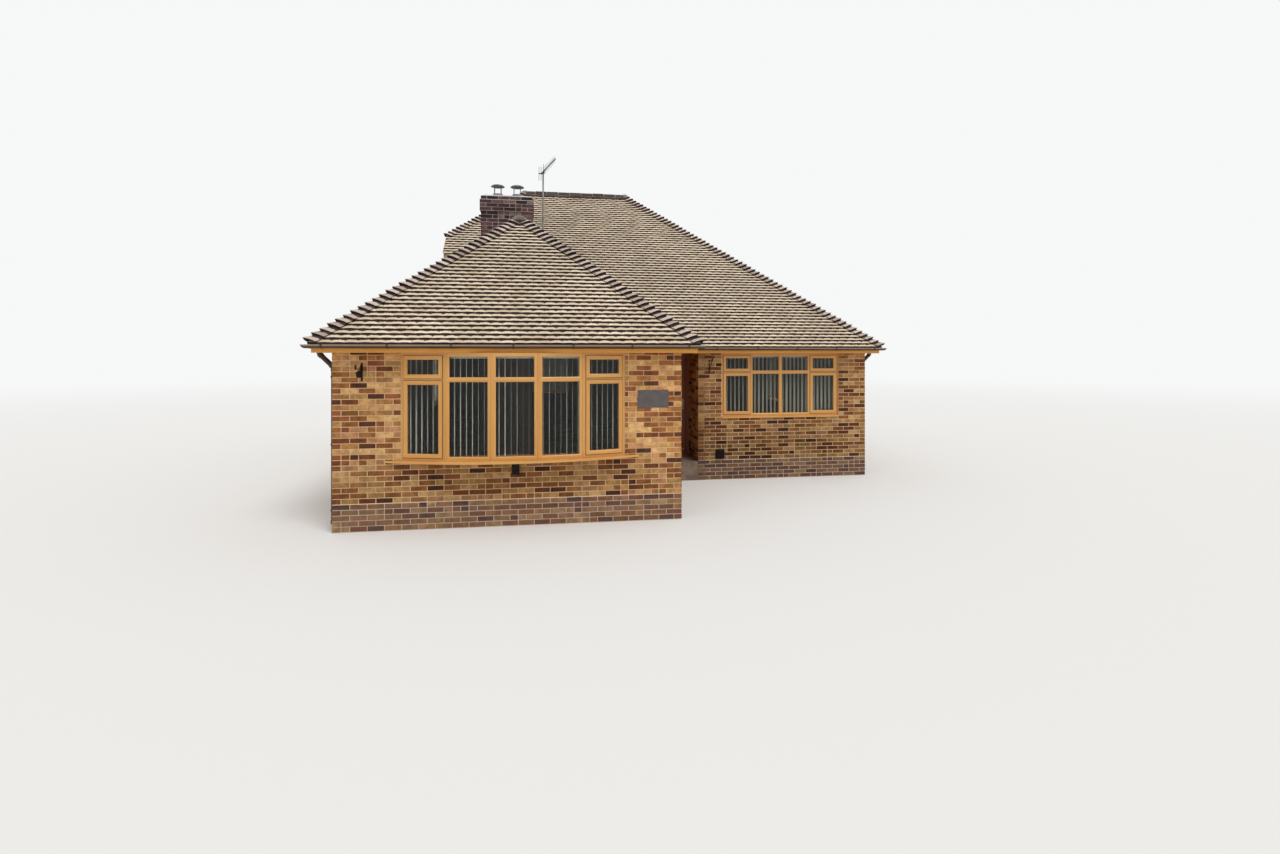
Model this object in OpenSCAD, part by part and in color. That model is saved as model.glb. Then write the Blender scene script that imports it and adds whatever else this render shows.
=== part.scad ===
// L-shaped brick bungalow with a hipped, plain-tiled roof, a five-light bow window in its front wing,
// a recessed porch, a half-hipped side dormer and a brick chimney.
// Millimetres. X runs along the front to the right, Y from front to back, Z up from the lowest ground.
// The origin is under the middle of the outer walls' rectangle.

/* [Plan] */
// Width of the front wing over its wall faces
wing_w = 4820; // [4500:10:5000]
// Width of the front wall to the right of the porch
main_w = 3430; // [3200:10:3800]
// Depth of the main block, from its front face to the rear wall's face
main_d = 8590; // [8200:10:9000]
// How far the wing stands in front of the main front wall
wing_out = 2740; // [2400:10:3000]
// Thickness of the brick cavity walls
wall_t = 280; // [250:5:320]
// Width of the porch recess
porch_w = 950; // [940:5:1000]
// Depth of the porch recess, from the main wall face to the door frame
porch_deep = 760; // [600:10:900]

/* [Levels] */
// Finished ground floor above the lowest ground
floor_z = 400; // [360:5:450]
// Soffit, fascia foot and window heads
head_z = 2438; // [2400:1:2500]
// Thickness of the loft floor, joists and boards
loft_t = 180; // [120:10:220]

/* [Roof] */
// Roof pitch in degrees
pitch = 40.6; // [38:0.1:43]
// Thickness of the roof, rafters to battens, square to the slope
roof_t = 150; // [120:5:180]
// Overhang of the tile edge beyond the wall face
tile_out = 235; // [225:5:260]
// Overhang of the fascia's outer face beyond the wall face
fascia_out = 200; // [190:5:215]
// Thickness of the fascia boards
fascia_t = 20; // [16:1:25]
// Height of the fascia boards
fascia_h = 110; // [100:1:120]
// Thickness of the soffit boards
soffit_t = 10; // [8:1:14]
// Thickness of the tile edge over the fascia
tile_edge = 18; // [14:1:24]
// Radius of the half-round ridge tiles
ridge_r = 120; // [100:5:140]
// Exposed length of each tile course up the slope
gauge = 100; // [80:5:115]
// Width of a bonnet tile on each side of its hip
bonnet_half = 95; // [70:5:130]
// Height of a bonnet's tail over the slope
bonnet_tail = 42; // [30:2:60]
// Height of a bonnet's head over the slope
bonnet_head = 16; // [10:2:24]
// How far the ridge tiles run past the apex of a hip
ridge_lap = 35; // [10:5:40]
// How far below the apex a row of bonnets ends, along its hip in plan
bonnet_short = 125; // [120:5:160]

/* [Dormer] */
// Outer face of the dormer's gable wall, from the left wall face
dormer_in = 800; // [700:10:900]
// Distance between the outer faces of the two cheeks
dormer_w = 4060; // [3900:20:4200]
// Overhang of the dormer's eaves beyond its cheeks
dormer_eave = 100; // [80:10:130]
// Overhang of the verge beyond the gable wall
verge_out = 60; // [40:5:90]
// Distance from the left wall face to the left end of the main ridge
half_hip_in = 2380; // [2300:10:2500]
// Thickness of the dormer's walls
dormer_t = 120; // [100:5:150]

/* [Windows] */
// Face width of the fixed frame members
frame_face = 46; // [40:1:55]
// Depth of the window frames
frame_depth = 70; // [60:1:80]
// Width of the glazing beads
bead = 10; // [8:1:14]
// Face width of the opening sashes
sash_face = 50; // [44:1:60]
// How far a sash stands in front of its frame
sash_proud = 12; // [8:1:16]
// Thickness of the sealed double-glazing units
pane_t = 24; // [20:1:28]
// Set-back of the flat windows behind the wall face
window_back = 25; // [15:5:40]
// Height of the transom centre below the window heads
transom_drop = 368; // [340:1:400]

/* [Bow window] */
// Left end of the bow frame, from the left wall face
bow_in = 886; // [850:2:920]
// Width of each of the five lights
bow_light = 630; // [600:1:640]
// Turn from each light to the next, in degrees
bow_turn = 7.6; // [5:0.1:9]
// Underside of the bow frame
bow_z = 962; // [900:1:1000]
// How far the sill board reaches in front of the wall at its middle
bow_sill_out = 350; // [330:5:380]
// How far the sill board runs past the frame at each side
bow_sill_past = 215; // [150:5:250]
// Thickness of the sill boards
sill_t = 32; // [25:1:40]

/* [Main window] */
// Distance from the porch corner to the main window
main_win_in = 465; // [400:5:520]
// Width of each of its four lights
light_w = 600; // [560:5:620]
// Underside of the main window frame
main_win_z = 1215; // [1150:5:1300]

/* [Other windows] */
// Side walls to the middle of the rear windows
rear_win_in = 2484; // [1600:10:3200]
// Width of the lights in the dormer window
dormer_light = 600; // [500:10:640]
// Height of the dormer window
dormer_win_h = 900; // [800:10:950]
// Height of wall between the dormer window's head and the roof over it
dormer_head_drop = 217; // [180:1:260]

/* [Front door] */
// Face width of the door frame
door_face = 56; // [45:1:65]
// Depth of the door frame
door_depth = 100; // [90:1:120]
// Thickness of the door leaf
leaf_t = 44; // [40:1:50]
// Clearance round the leaf
leaf_gap = 5; // [5:0.5:8]
// Clearance at the lock side, where the leaf's edge swings past the jamb
lock_gap = 7; // [7:0.5:9]
// Height of the threshold
threshold_h = 40; // [30:1:60]

/* [Chimney] */
// How far the stack stands to the right of the wing's ridge
chimney_past = 200; // [100:10:300]
// Width of the stack
chimney_w = 1010; // [900:5:1100]
// Depth of the stack
chimney_d = 560; // [450:5:620]
// Clear distance from the back of the stack to the dormer's eaves
chimney_clear = 495; // [400:5:600]
// Top of the brickwork
chimney_z = 5585; // [5500:5:5700]
// Projection of the oversailing courses
oversail = 20; // [15:1:30]
// Height of one brick course
course = 75; // [70:1:80]
// Width of the cowl caps
cowl_d = 280; // [240:5:300]
// Height of the cowls above the flaunching
cowl_h = 240; // [200:5:280]
// Distance of each cowl from the middle of the stack
cowl_off = 195; // [180:5:230]
// Height of the flaunching in its middle
flaunch_h = 45; // [30:1:60]

/* [Aerial] */
// Distance of the mast from the side of the stack
mast_gap = 215; // [180:5:260]
// Height of the mast above the brickwork
mast_rise = 605; // [500:5:700]
// Depth of the mast's foot below the top of the brickwork
mast_drop = 655; // [560:5:700]
// Distance between the two brackets of the mast
mast_step = 190; // [150:5:220]
// Length of the boom
boom = 1100; // [900:10:1200]
// Turn of the boom from the front wall's line, in degrees
boom_turn = -75.5; // [-90:0.5:-60]

/* [Gutter] */
// Outside radius of the half-round gutter
gutter_r = 50; // [45:1:56]
// Thickness of the gutter's wall
gutter_t = 3; // [2:0.5:4]
// Distance between gutter brackets
bracket_step = 900; // [700:50:1100]
// Outside diameter of the downpipes
pipe_d = 68; // [60:1:75]

/* [Fixtures] */
// Width of the name plate
plate_w = 452; // [400:2:500]
// Height of the name plate
plate_h = 256; // [220:2:280]
// Distance from the wing's right corner to the name plate
plate_in = 196; // [150:2:250]
// Underside of the name plate
plate_z = 1642; // [1500:2:1700]
// Distance of the lantern from the left corner
lantern_in = 380; // [330:5:430]
// Underside of the lantern
lantern_z = 2065; // [1900:5:2100]
// Distance of the basket bracket from the porch corner
basket_in = 215; // [150:5:300]
// Foot of the basket bracket
basket_z = 2040; // [1900:5:2080]
// Distance of the vent's middle from the porch corner
vent_in = 427; // [300:1:600]
// Underside of the vent
vent_z = 406; // [400:1:500]

/* [Hidden] */

// Clearance of pieces that are bedded or screwed but not moulded together
seat = 0.3;
// Fineness of round work
$fn = 48;

// Overall width and depth over the outer wall faces
house_w = wing_w + porch_w + main_w;
house_d = wing_out + main_d;

// Planes of the outer wall faces
x_left = -house_w / 2;
x_right = house_w / 2;
x_wing = x_left + wing_w;
x_porch = x_wing + porch_w;
y_front = -house_d / 2;
y_main = y_front + wing_out;
y_door = y_main + porch_deep;
y_rear = house_d / 2;

// Roof surface: height of the upper face above the tile edge rises by k for each unit inwards
k = tan(pitch);
roof_v = roof_t / cos(pitch);
fascia_top = head_z + fascia_h;
eave_z = fascia_top + tile_edge;
soffit_top = head_z + soffit_t;
main_run = main_d / 2 + tile_out;
wing_run = wing_w / 2 + tile_out;
x_wing_ridge = x_left + wing_w / 2;
y_ridge = (y_main + y_rear) / 2;
x_ridge_right = x_right + tile_out - main_run;
x_ridge_left = x_left + half_hip_in;
wing_ridge_z = eave_z + wing_run * k;
ridge_z = eave_z + main_run * k;
y_wing_apex = y_front - tile_out + wing_run;
y_wing_end = y_main - tile_out + wing_run;

// Wall head: where the underside of the roof meets the outer wall face, to the millimetre below
wall_top = floor(eave_z + tile_out * k - roof_v);
loft_top = wall_top + loft_t;

// Dormer
x_gable = x_left + dormer_in;
x_verge = x_gable - verge_out;
y_cheek = y_ridge - dormer_w / 2;
y_cheek_rear = y_ridge + dormer_w / 2;
y_dormer_eave = y_cheek - dormer_eave;
y_dormer_eave_rear = y_cheek_rear + dormer_eave;
// the half-hip's surface and the front slope meet over the verge at this distance from the ridge
verge_run = x_ridge_left - x_verge;
dormer_win_z = floor(ridge_z - (verge_run - verge_out) * k - roof_v) - dormer_head_drop - dormer_win_h;

// Left front corner of the chimney stack
x_stack = x_wing_ridge + chimney_past - chimney_w;
y_stack = y_dormer_eave - chimney_clear - chimney_d;

far = 20000;

// Outline of the outer walls, moved outwards by o, without the porch recess
function outline(o) = [
  [x_left - o, y_front - o], [x_wing + o, y_front - o], [x_wing + o, y_main - o],
  [x_right + o, y_main - o], [x_right + o, y_rear + o], [x_left - o, y_rear + o]];

// The porch recess in plan
module porch_plan(deep = porch_deep) translate([x_wing, y_main - 1]) square([porch_w, deep + 1]);

// Prism over a plan polygon, between two heights
module prism(points, z0, z1) translate([0, 0, z0]) linear_extrude(z1 - z0) polygon(points);

// Section of the roof in a vertical plane square to the eaves: s is the distance inwards from the tile edge
module slope_section(run) {
  s_foot = (soffit_top + roof_v - eave_z) / k;
  s_back = tile_out - fascia_out + fascia_t;
  polygon([[0, fascia_top], [0, eave_z], [run, eave_z + run * k], [run, eave_z + run * k - roof_v],
    [s_foot, soffit_top], [s_back, soffit_top], [s_back, fascia_top]]);
}

// One roof slope: its section carried along its eaves and cut plumb to its plan outline at hips, ridge and valleys.
// side turns the run-in direction: 0 from the front, 90 from the right, 180 from the rear, -90 from the left.
module slope(side, eave, run, plan) {
  intersection() {
    rotate([0, 0, side]) translate([-far / 2, eave, 0]) rotate([90, 0, 90]) linear_extrude(far) slope_section(run);
    prism(plan, 0, far / 2);
  }
}

// Everything below the underside of a slope that rises from the given eave, on past the ridge
module below_slope(side, eave, run = 2 * main_run) {
  rotate([0, 0, side]) translate([-far / 2, eave, 0]) rotate([90, 0, 90]) linear_extrude(far)
    polygon([[0, 0], [0, eave_z - roof_v], [run, eave_z + run * k - roof_v], [run, 0]]);
}

// Where the hips between the left slope and the front and rear slopes lie, at a given y
function x_hip_front(y) = x_left + y - y_main;
function x_hip_rear(y) = x_left + y_rear - y;

// Roof

module wing_front_slope() color("sienna")
  slope(0, y_front - tile_out, wing_run + 1, [[x_left - tile_out, y_front - tile_out],
    [x_wing + tile_out, y_front - tile_out], [x_wing_ridge, y_wing_apex]]);

module wing_right_slope() color("sienna") difference() {
  slope(90, -(x_wing + tile_out), wing_run + 1, [[x_wing + tile_out, y_front - tile_out],
    [x_wing + tile_out, y_main - tile_out], [x_wing_ridge, y_wing_end], [x_wing_ridge, y_wing_apex]]);
  chimney_shaft();
}

// The left slope runs unbroken from the wing to the dormer, under whose eaves it stops at the cheek
module left_front_slope() color("sienna") difference() {
  slope(-90, x_left - tile_out, main_run, [[x_left - tile_out, y_front - tile_out], [x_wing_ridge, y_wing_apex],
    [x_wing_ridge, y_wing_end], [x_hip_front(y_dormer_eave), y_dormer_eave],
    [x_hip_front(y_dormer_eave), y_cheek], [x_left - tile_out, y_cheek]]);
  main_front_solid();
  chimney_shaft();
}

// Foot of the left slope below the dormer's gable wall
module left_foot_slope() color("sienna")
  slope(-90, x_left - tile_out, main_run, [[x_left - tile_out, y_cheek], [x_gable, y_cheek],
    [x_gable, y_cheek_rear], [x_left - tile_out, y_cheek_rear]]);

module left_rear_slope() color("sienna") difference() {
  slope(-90, x_left - tile_out, main_run, [[x_left - tile_out, y_cheek_rear],
    [x_hip_rear(y_dormer_eave_rear), y_cheek_rear], [x_hip_rear(y_dormer_eave_rear), y_dormer_eave_rear],
    [x_left - tile_out, y_rear + tile_out]]);
  rear_solid();
}

module main_front_solid() slope(0, y_main - tile_out, main_run, [[x_wing + tile_out, y_main - tile_out],
  [x_right + tile_out, y_main - tile_out], [x_ridge_right, y_ridge], [x_ridge_left, y_ridge],
  [x_verge, y_ridge - verge_run], [x_verge, y_dormer_eave],
  [x_hip_front(y_dormer_eave), y_dormer_eave], [x_wing_ridge, y_wing_end]]);

module main_front_slope() color("sienna") main_front_solid();

module rear_solid() slope(180, -(y_rear + tile_out), main_run, [[x_left - tile_out, y_rear + tile_out],
  [x_right + tile_out, y_rear + tile_out], [x_ridge_right, y_ridge], [x_ridge_left, y_ridge],
  [x_verge, y_ridge + verge_run], [x_verge, y_dormer_eave_rear],
  [x_hip_rear(y_dormer_eave_rear), y_dormer_eave_rear]]);

module rear_slope() color("sienna") rear_solid();

module right_slope() color("sienna")
  slope(90, -(x_right + tile_out), main_run, [[x_right + tile_out, y_main - tile_out],
    [x_right + tile_out, y_rear + tile_out], [x_ridge_right, y_ridge]]);

// The clipped gable over the dormer's wall, at the same pitch as the rest
module dormer_half_hip() color("sienna") {
  hip_z = ridge_z - verge_run * k;
  intersection() {
    translate([x_verge, far / 2, hip_z]) rotate([90, 0, 0]) linear_extrude(far)
      polygon([[0, 0], [verge_run, verge_run * k], [verge_run, verge_run * k - roof_v], [0, -roof_v]]);
    prism([[x_verge, y_ridge - verge_run], [x_ridge_left, y_ridge], [x_verge, y_ridge + verge_run]], 0, far / 2);
  }
}

// Everything below the dormer's roof
module below_dormer() intersection() {
  below_slope(0, y_main - tile_out);
  below_slope(180, -(y_rear + tile_out));
  translate([x_verge, far / 2, 0]) rotate([90, 0, 0]) linear_extrude(far)
    polygon([[0, 0], [0, ridge_z - verge_run * k - roof_v], [verge_run, ridge_z - roof_v],
      [far / 2, ridge_z - roof_v], [far / 2, 0]]);
}

module dormer_gable_wall() color("tan") difference() {
  intersection() {
    translate([x_gable, y_cheek, loft_top]) cube([dormer_t, dormer_w, far / 4]);
    below_dormer();
  }
  translate([x_gable - 1, y_ridge - 1.5 * dormer_light, dormer_win_z - sill_t])
    cube([dormer_t + 2, 3 * dormer_light, dormer_win_h + sill_t]);
}

module dormer_cheeks() color("tan") intersection() {
  union() for (y = [y_cheek, y_cheek_rear - dormer_t])
    translate([x_gable + dormer_t, y, loft_top]) cube([x_wing_ridge - x_gable - dormer_t - roof_v, dormer_t, far / 4]);
  below_dormer();
}

// Half-round ridge tiles, bedded on both slopes, their axis below the apex
module ridge_run(length, top_z, run) difference() {
  sunk = 0.35 * ridge_r;
  translate([0, 0, top_z - sunk]) rotate([0, 90, 0]) cylinder(r = ridge_r, h = length);
  bed_z = top_z + seat;
  rotate([90, 0, 90]) translate([0, 0, -1]) linear_extrude(length + 2)
    polygon([[-run, bed_z - run * k], [0, bed_z], [run, bed_z - run * k], [run, 0], [-run, 0]]);
}

// Section of tile courses in a vertical plane square to the eaves, lifted over the slope: each course's tail
// stands over the next one down
module course_section(run) {
  core = -far / 10;
  count = round(run / (gauge * cos(pitch)));
  step = run / count;
  polygon(concat([[0, core]], [for (i = [0:count - 1], end = [0, 1])
    [(i + end) * step, (i + end) * step * k + (end == 0 ? bonnet_tail : bonnet_head)]], [[run, core]]));
}

// Everything below the slopes at both sides of a hip that starts at the origin and runs along +x in plan
module below_hip(lift, run) {
  span = 2 * run;
  bottom = -far / 5;
  intersection_for(side = [-1, 1])
    rotate([0, 0, 45 * side]) translate([-run, span, 0]) rotate([90, 0, 0]) linear_extrude(2 * span)
      polygon([[0, lift - run * k], [3 * run, lift + 2 * run * k], [3 * run, bottom], [0, bottom]]);
}

// Bonnet tiles up a hip, one to a course and bedded on both slopes: foot is the corner of the tile edges,
// turn the hip's direction in plan, run how far the slopes run in along it
module bonnets(foot, turn, run) translate(foot) rotate([0, 0, turn]) difference() {
  intersection() {
    rotate([0, 0, 45]) translate([0, bonnet_half * 2, 0]) rotate([90, 0, 0])
      linear_extrude(run + bonnet_half * 2) course_section(run);
    rotate([0, 0, -45]) translate([0, run, 0]) rotate([90, 0, 0])
      linear_extrude(run + bonnet_half * 2) course_section(run);
    translate([0, -bonnet_half, -eave_z]) cube([run * sqrt(2) - bonnet_short, 2 * bonnet_half, far]);
  }
  below_hip(seat, run);
}

module ridge_tiles() color("saddlebrown") {
  bonnets([x_left - tile_out, y_front - tile_out, eave_z], 45, wing_run);
  bonnets([x_wing + tile_out, y_front - tile_out, eave_z], 135, wing_run);
  bonnets([x_right + tile_out, y_main - tile_out, eave_z], 135, main_run);
  bonnets([x_right + tile_out, y_rear + tile_out, eave_z], -135, main_run);
  bonnets([x_left - tile_out, y_rear + tile_out, eave_z], -45, y_rear + tile_out - y_dormer_eave_rear);
  for (side = [-1, 1])
    bonnets([x_verge, y_ridge + side * verge_run, ridge_z - verge_run * k], -45 * side, verge_run);
  translate([x_ridge_left - ridge_lap, y_ridge, 0])
    ridge_run(x_ridge_right - x_ridge_left + 2 * ridge_lap, ridge_z, main_run);
  difference() {
    translate([x_wing_ridge, y_wing_apex - ridge_lap, 0]) rotate([0, 0, 90])
      ridge_run(y_wing_end - y_wing_apex + ridge_lap, wing_ridge_z, wing_run);
    main_front_solid();
    chimney_shaft();
  }
}

// Eaves

module ring(outer, inner, z0, z1) translate([0, 0, z0]) linear_extrude(z1 - z0)
  difference() {
    polygon(outline(outer));
    polygon(outline(inner));
  }

module fascia() color("peru") ring(fascia_out, fascia_out - fascia_t, head_z, fascia_top);

module soffit() color("peru") translate([0, 0, head_z]) linear_extrude(soffit_t) {
  difference() {
    polygon(outline(fascia_out - fascia_t));
    polygon(outline(0));
  }
  porch_plan();
}

gutter_axis = fascia_out + seat + gutter_r;
gutter_top = fascia_top - 3;

// Half-round section, open upwards, x outwards from the fascia
module gutter_section(r, t) difference() {
  circle(r);
  circle(r - t);
  translate([-2 * r, 0]) square([4 * r, 2 * r]);
}

// Runs of the eaves: start corner, end corner
function eave_runs(o) = [for (i = [0:5]) [outline(o)[i], outline(o)[(i + 1) % 6]]];

// Each run is cut plumb at its mitres, where it laps the next one by a little
mitre_lap = 1;

module gutter() color("#3b2f2a") {
  inner = outline(fascia_out);
  outer = outline(fascia_out + 3 * gutter_r);
  for (i = [0:5]) {
    j = (i + 1) % 6;
    a = outline(gutter_axis)[i];
    b = outline(gutter_axis)[j];
    lap = mitre_lap * (b - a) / norm(b - a);
    along = atan2(b[1] - a[1], b[0] - a[0]);
    intersection() {
      translate([a[0], a[1], gutter_top]) rotate([0, 0, along]) translate([-3 * gutter_r, 0, 0]) rotate([90, 0, 90])
        linear_extrude(norm(b - a) + 6 * gutter_r) gutter_section(gutter_r, gutter_t);
      prism([inner[i] - lap, inner[j] + lap, outer[j] + lap, outer[i] - lap], gutter_top - far / 10,
        gutter_top + far / 10);
    }
  }
}

// Strap clips that hold the gutter to the fascia
module gutter_brackets() color("#3b2f2a") for (run = eave_runs(gutter_axis)) {
  clip_w = 24;
  clip_t = 4;
  along = atan2(run[1][1] - run[0][1], run[1][0] - run[0][0]);
  length = norm(run[1] - run[0]);
  count = floor((length - 2 * fascia_out) / bracket_step) + 1;
  gap = (length - 2 * fascia_out) / count;
  for (i = [0:count]) translate([run[0][0], run[0][1], gutter_top]) rotate([0, 0, along])
    translate([fascia_out + i * gap - clip_w / 2, 0, 0]) rotate([90, 0, 90]) linear_extrude(clip_w) difference() {
      circle(gutter_r + clip_t);
      circle(gutter_r + seat);
      translate([-2 * gutter_r, 0]) square([4 * gutter_r, 2 * gutter_r]);
      translate([gutter_r, -2 * gutter_r]) square([2 * gutter_r, 4 * gutter_r]);
    }
}

// Rainwater pipe: outlet, swan neck back to the wall, straight drop held by clips.
// Sockets stand round the joints of the neck. Drawn at a wall whose outer face is the plane x = 0, facing -x.
pipe_gap = 26;
neck_turn = 45;
socket = 5;
socket_h = 44;

module pipe_elbow() rotate([90, 0, 0]) rotate_extrude(angle = neck_turn) translate([pipe_d, 0]) circle(d = pipe_d);

module pipe_length(h) {
  cylinder(d = pipe_d, h = h);
  for (z = [-socket_h / 2, h - socket_h / 2]) translate([0, 0, z]) cylinder(d = pipe_d + 2 * socket, h = socket_h);
}

module downpipe(foot_z) {
  stub = 40;
  clip_t = 6;
  clip_h = 30;
  clip_w = 40;
  clip_low = 150;
  clip_high = 120;
  pipe_x = pipe_gap + pipe_d / 2;
  turn_x = pipe_d * (1 - cos(neck_turn));
  turn_z = pipe_d * sin(neck_turn);
  run = (gutter_axis - pipe_x - 2 * turn_x) / sin(neck_turn);
  z1 = gutter_top - gutter_r - stub;
  z2 = z1 - 2 * turn_z - run * cos(neck_turn);
  translate([-gutter_axis, 0, z1]) {
    cylinder(d = pipe_d, h = stub - seat);
    translate([0, 0, -socket_h / 3]) cylinder(d = pipe_d + 2 * socket, h = socket_h);
    translate([pipe_d, 0, 0]) rotate([0, 180, 0]) mirror([0, 1, 0]) pipe_elbow();
    translate([turn_x, 0, -turn_z]) rotate([0, 180 - neck_turn, 0]) pipe_length(run);
  }
  translate([-pipe_x, 0, z2]) {
    translate([-pipe_d, 0, 0]) pipe_elbow();
    translate([0, 0, foot_z - z2]) pipe_length(z2 - foot_z);
  }
  for (z = [foot_z + clip_low, (foot_z + z2) / 2, z2 - clip_high]) translate([-pipe_x, 0, z]) {
    cylinder(d = pipe_d + 2 * clip_t, h = clip_h);
    translate([0, -clip_w / 2, 0]) cube([pipe_x, clip_w, clip_h]);
  }
}

module downpipes() color("#3b2f2a") {
  from_corner = 260;
  low_foot = 90;
  high_foot = 420;
  translate([x_left, y_front + from_corner, 0]) downpipe(low_foot);
  translate([x_right, y_main + from_corner, 0]) rotate([0, 0, 180]) downpipe(high_foot);
  translate([x_right, y_rear - from_corner, 0]) rotate([0, 0, 180]) downpipe(high_foot);
}

// Walls and floors

module ground_floor() color("lightgray") linear_extrude(floor_z) {
  difference() {
    polygon(outline(-wall_t));
    // the porch recess and the walls round it
    translate([x_wing - wall_t, y_main]) square([porch_w + 2 * wall_t, porch_deep + wall_t]);
  }
  // through the doorway, up to the threshold
  translate([x_wing, y_door + door_depth]) square([porch_w, wall_t - door_depth]);
}

module loft_floor() color("burlywood") difference() {
  intersection() {
    translate([0, 0, wall_top]) linear_extrude(loft_t) polygon(outline(0));
    union() {
      intersection() {
        below_slope(0, y_main - tile_out);
        below_slope(180, -(y_rear + tile_out));
        below_slope(90, -(x_right + tile_out));
        below_slope(-90, x_left - tile_out);
      }
      intersection() {
        below_slope(0, y_front - tile_out, 2 * wing_run);
        below_slope(90, -(x_wing + tile_out), 2 * wing_run);
        below_slope(-90, x_left - tile_out, 2 * wing_run);
      }
    }
  }
  chimney_shaft();
}

module wing_front_wall() color("peru") difference() {
  translate([x_left, y_front, 0]) cube([wing_w, wall_t, wall_top]);
  bow_hole();
}

module wing_right_wall() color("peru")
  translate([x_wing - wall_t, y_front + wall_t, 0]) cube([wall_t, wing_out + porch_deep, wall_top]);

module porch_return_wall() color("peru")
  translate([x_porch, y_main, 0]) cube([wall_t, porch_deep + wall_t, wall_top]);

module door_lintel() color("peru")
  translate([x_wing, y_door, head_z]) cube([porch_w, wall_t, wall_top - head_z]);

module main_front_wall() color("peru") difference() {
  translate([x_porch + wall_t, y_main, 0]) cube([x_right - x_porch - wall_t, wall_t, wall_top]);
  main_window_place() window_hole(4, light_w, main_win_z);
}

module left_wall() color("peru") difference() {
  translate([x_left, y_front + wall_t, 0]) cube([wall_t, house_d - 2 * wall_t, wall_top]);
  left_window_place() window_hole(2, light_w, main_win_z);
}

module right_wall() color("peru") difference() {
  translate([x_right - wall_t, y_main + wall_t, 0]) cube([wall_t, y_rear - y_main - 2 * wall_t, wall_top]);
  right_window_place() window_hole(2, light_w, main_win_z);
}

module rear_wall() color("peru") difference() {
  translate([x_left, y_rear - wall_t, 0]) cube([house_w, wall_t, wall_top]);
  for (side = [0, 1]) rear_window_place(side) window_hole(4, light_w, main_win_z);
}

// Flat windows. Each is drawn with x along the wall, y inwards from the wall's outer face, z from the ground.

module main_window_place() translate([x_porch + main_win_in, y_main, 0]) children();
module left_window_place() translate([x_left, y_ridge + light_w, 0]) rotate([0, 0, -90]) children();
module right_window_place() translate([x_right, y_ridge - light_w, 0]) rotate([0, 0, 90]) children();
module rear_window_place(side)
  translate([(side == 0 ? x_left + rear_win_in : x_right - rear_win_in) + 2 * light_w, y_rear, 0]) rotate([0, 0, 180])
    children();
module dormer_window_place() translate([x_gable, y_ridge + 1.5 * dormer_light, 0]) rotate([0, 0, -90]) children();

module window_hole(lights, w, z) translate([0, -1, z - sill_t]) cube([lights * w, wall_t + 2, head_z - z + sill_t]);

// Fixed frame of equal lights, with a transom, and a step round each pane that stands for the glazing beads
module window_frame(lights, w, z0, z1, transom) {
  mullion = frame_face;
  difference() {
    translate([0, 0, z0]) cube([lights * w, frame_depth, z1 - z0]);
    for (i = [0:lights - 1]) for (row = transom > 0 ? [0, 1] : [0]) {
      xa = i == 0 ? frame_face : i * w + mullion / 2;
      xb = i == lights - 1 ? lights * w - frame_face : (i + 1) * w - mullion / 2;
      za = row == 0 ? z0 + frame_face : transom + mullion / 2;
      zb = row == 1 || transom == 0 ? z1 - frame_face : transom - mullion / 2;
      opens = (i == 0 || i == lights - 1);
      b = opens ? 0 : bead;
      translate([xa + b, -1, za + b]) cube([xb - xa - 2 * b, frame_depth + 2, zb - za - 2 * b]);
      if (!opens) translate([xa, bead * 2, za]) cube([xb - xa, frame_depth, zb - za]);
    }
  }
}

// One opening sash: a body inside the frame and a lip that laps over the frame's face
module sash(xa, xb, za, zb) {
  lap = 8;
  play = 3;
  difference() {
    union() {
      translate([xa - lap, -sash_proud, za - lap])
        cube([xb - xa + 2 * lap, sash_proud - seat, zb - za + 2 * lap]);
      translate([xa + play, -sash_proud, za + play])
        cube([xb - xa - 2 * play, frame_depth - 10 + sash_proud, zb - za - 2 * play]);
    }
    inset = sash_face;
    translate([xa + inset, -sash_proud - 1, za + inset])
      cube([xb - xa - 2 * inset, frame_depth + sash_proud + 2, zb - za - 2 * inset]);
    translate([xa + inset - bead, bead * 2 - sash_proud, za + inset - bead])
      cube([xb - xa - 2 * (inset - bead), frame_depth + 10, zb - za - 2 * (inset - bead)]);
  }
}

module window_sashes(lights, w, z0, z1, transom) for (i = [0, lights - 1]) for (row = transom > 0 ? [0, 1] : [0]) {
  xa = i == 0 ? frame_face : i * w + frame_face / 2;
  xb = i == lights - 1 ? lights * w - frame_face : (i + 1) * w - frame_face / 2;
  za = row == 0 ? z0 + frame_face : transom + frame_face / 2;
  zb = row == 1 || transom == 0 ? z1 - frame_face : transom - frame_face / 2;
  sash(xa, xb, za, zb);
}

// A sealed unit that fills a rebate, standing against its outer bead
module pane(xa, xb, za, zb, y) translate([xa + seat, y + seat, za + seat])
  cube([xb - xa - 2 * seat, pane_t, zb - za - 2 * seat]);

module window_glass(lights, w, z0, z1, transom) for (i = [0:lights - 1]) for (row = transom > 0 ? [0, 1] : [0]) {
  xa = i == 0 ? frame_face : i * w + frame_face / 2;
  xb = i == lights - 1 ? lights * w - frame_face : (i + 1) * w - frame_face / 2;
  za = row == 0 ? z0 + frame_face : transom + frame_face / 2;
  zb = row == 1 || transom == 0 ? z1 - frame_face : transom - frame_face / 2;
  opens = (i == 0 || i == lights - 1);
  b = opens ? sash_face - bead : 0;
  pane(xa + b, xb - b, za + b, zb - b, bead * 2 - (opens ? sash_proud : 0));
}

// Sloping sub-sill under a flat window
sill_out = 20;
sill_fall = 8;

module window_sill(length, z) translate([0, 0, z]) rotate([90, 0, 90]) linear_extrude(length)
  polygon([[-sill_out, -sill_t], [-sill_out, -sill_fall], [window_back, 0], [wall_t, 0], [wall_t, -sill_t]]);

transom_z = head_z - transom_drop;

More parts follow.
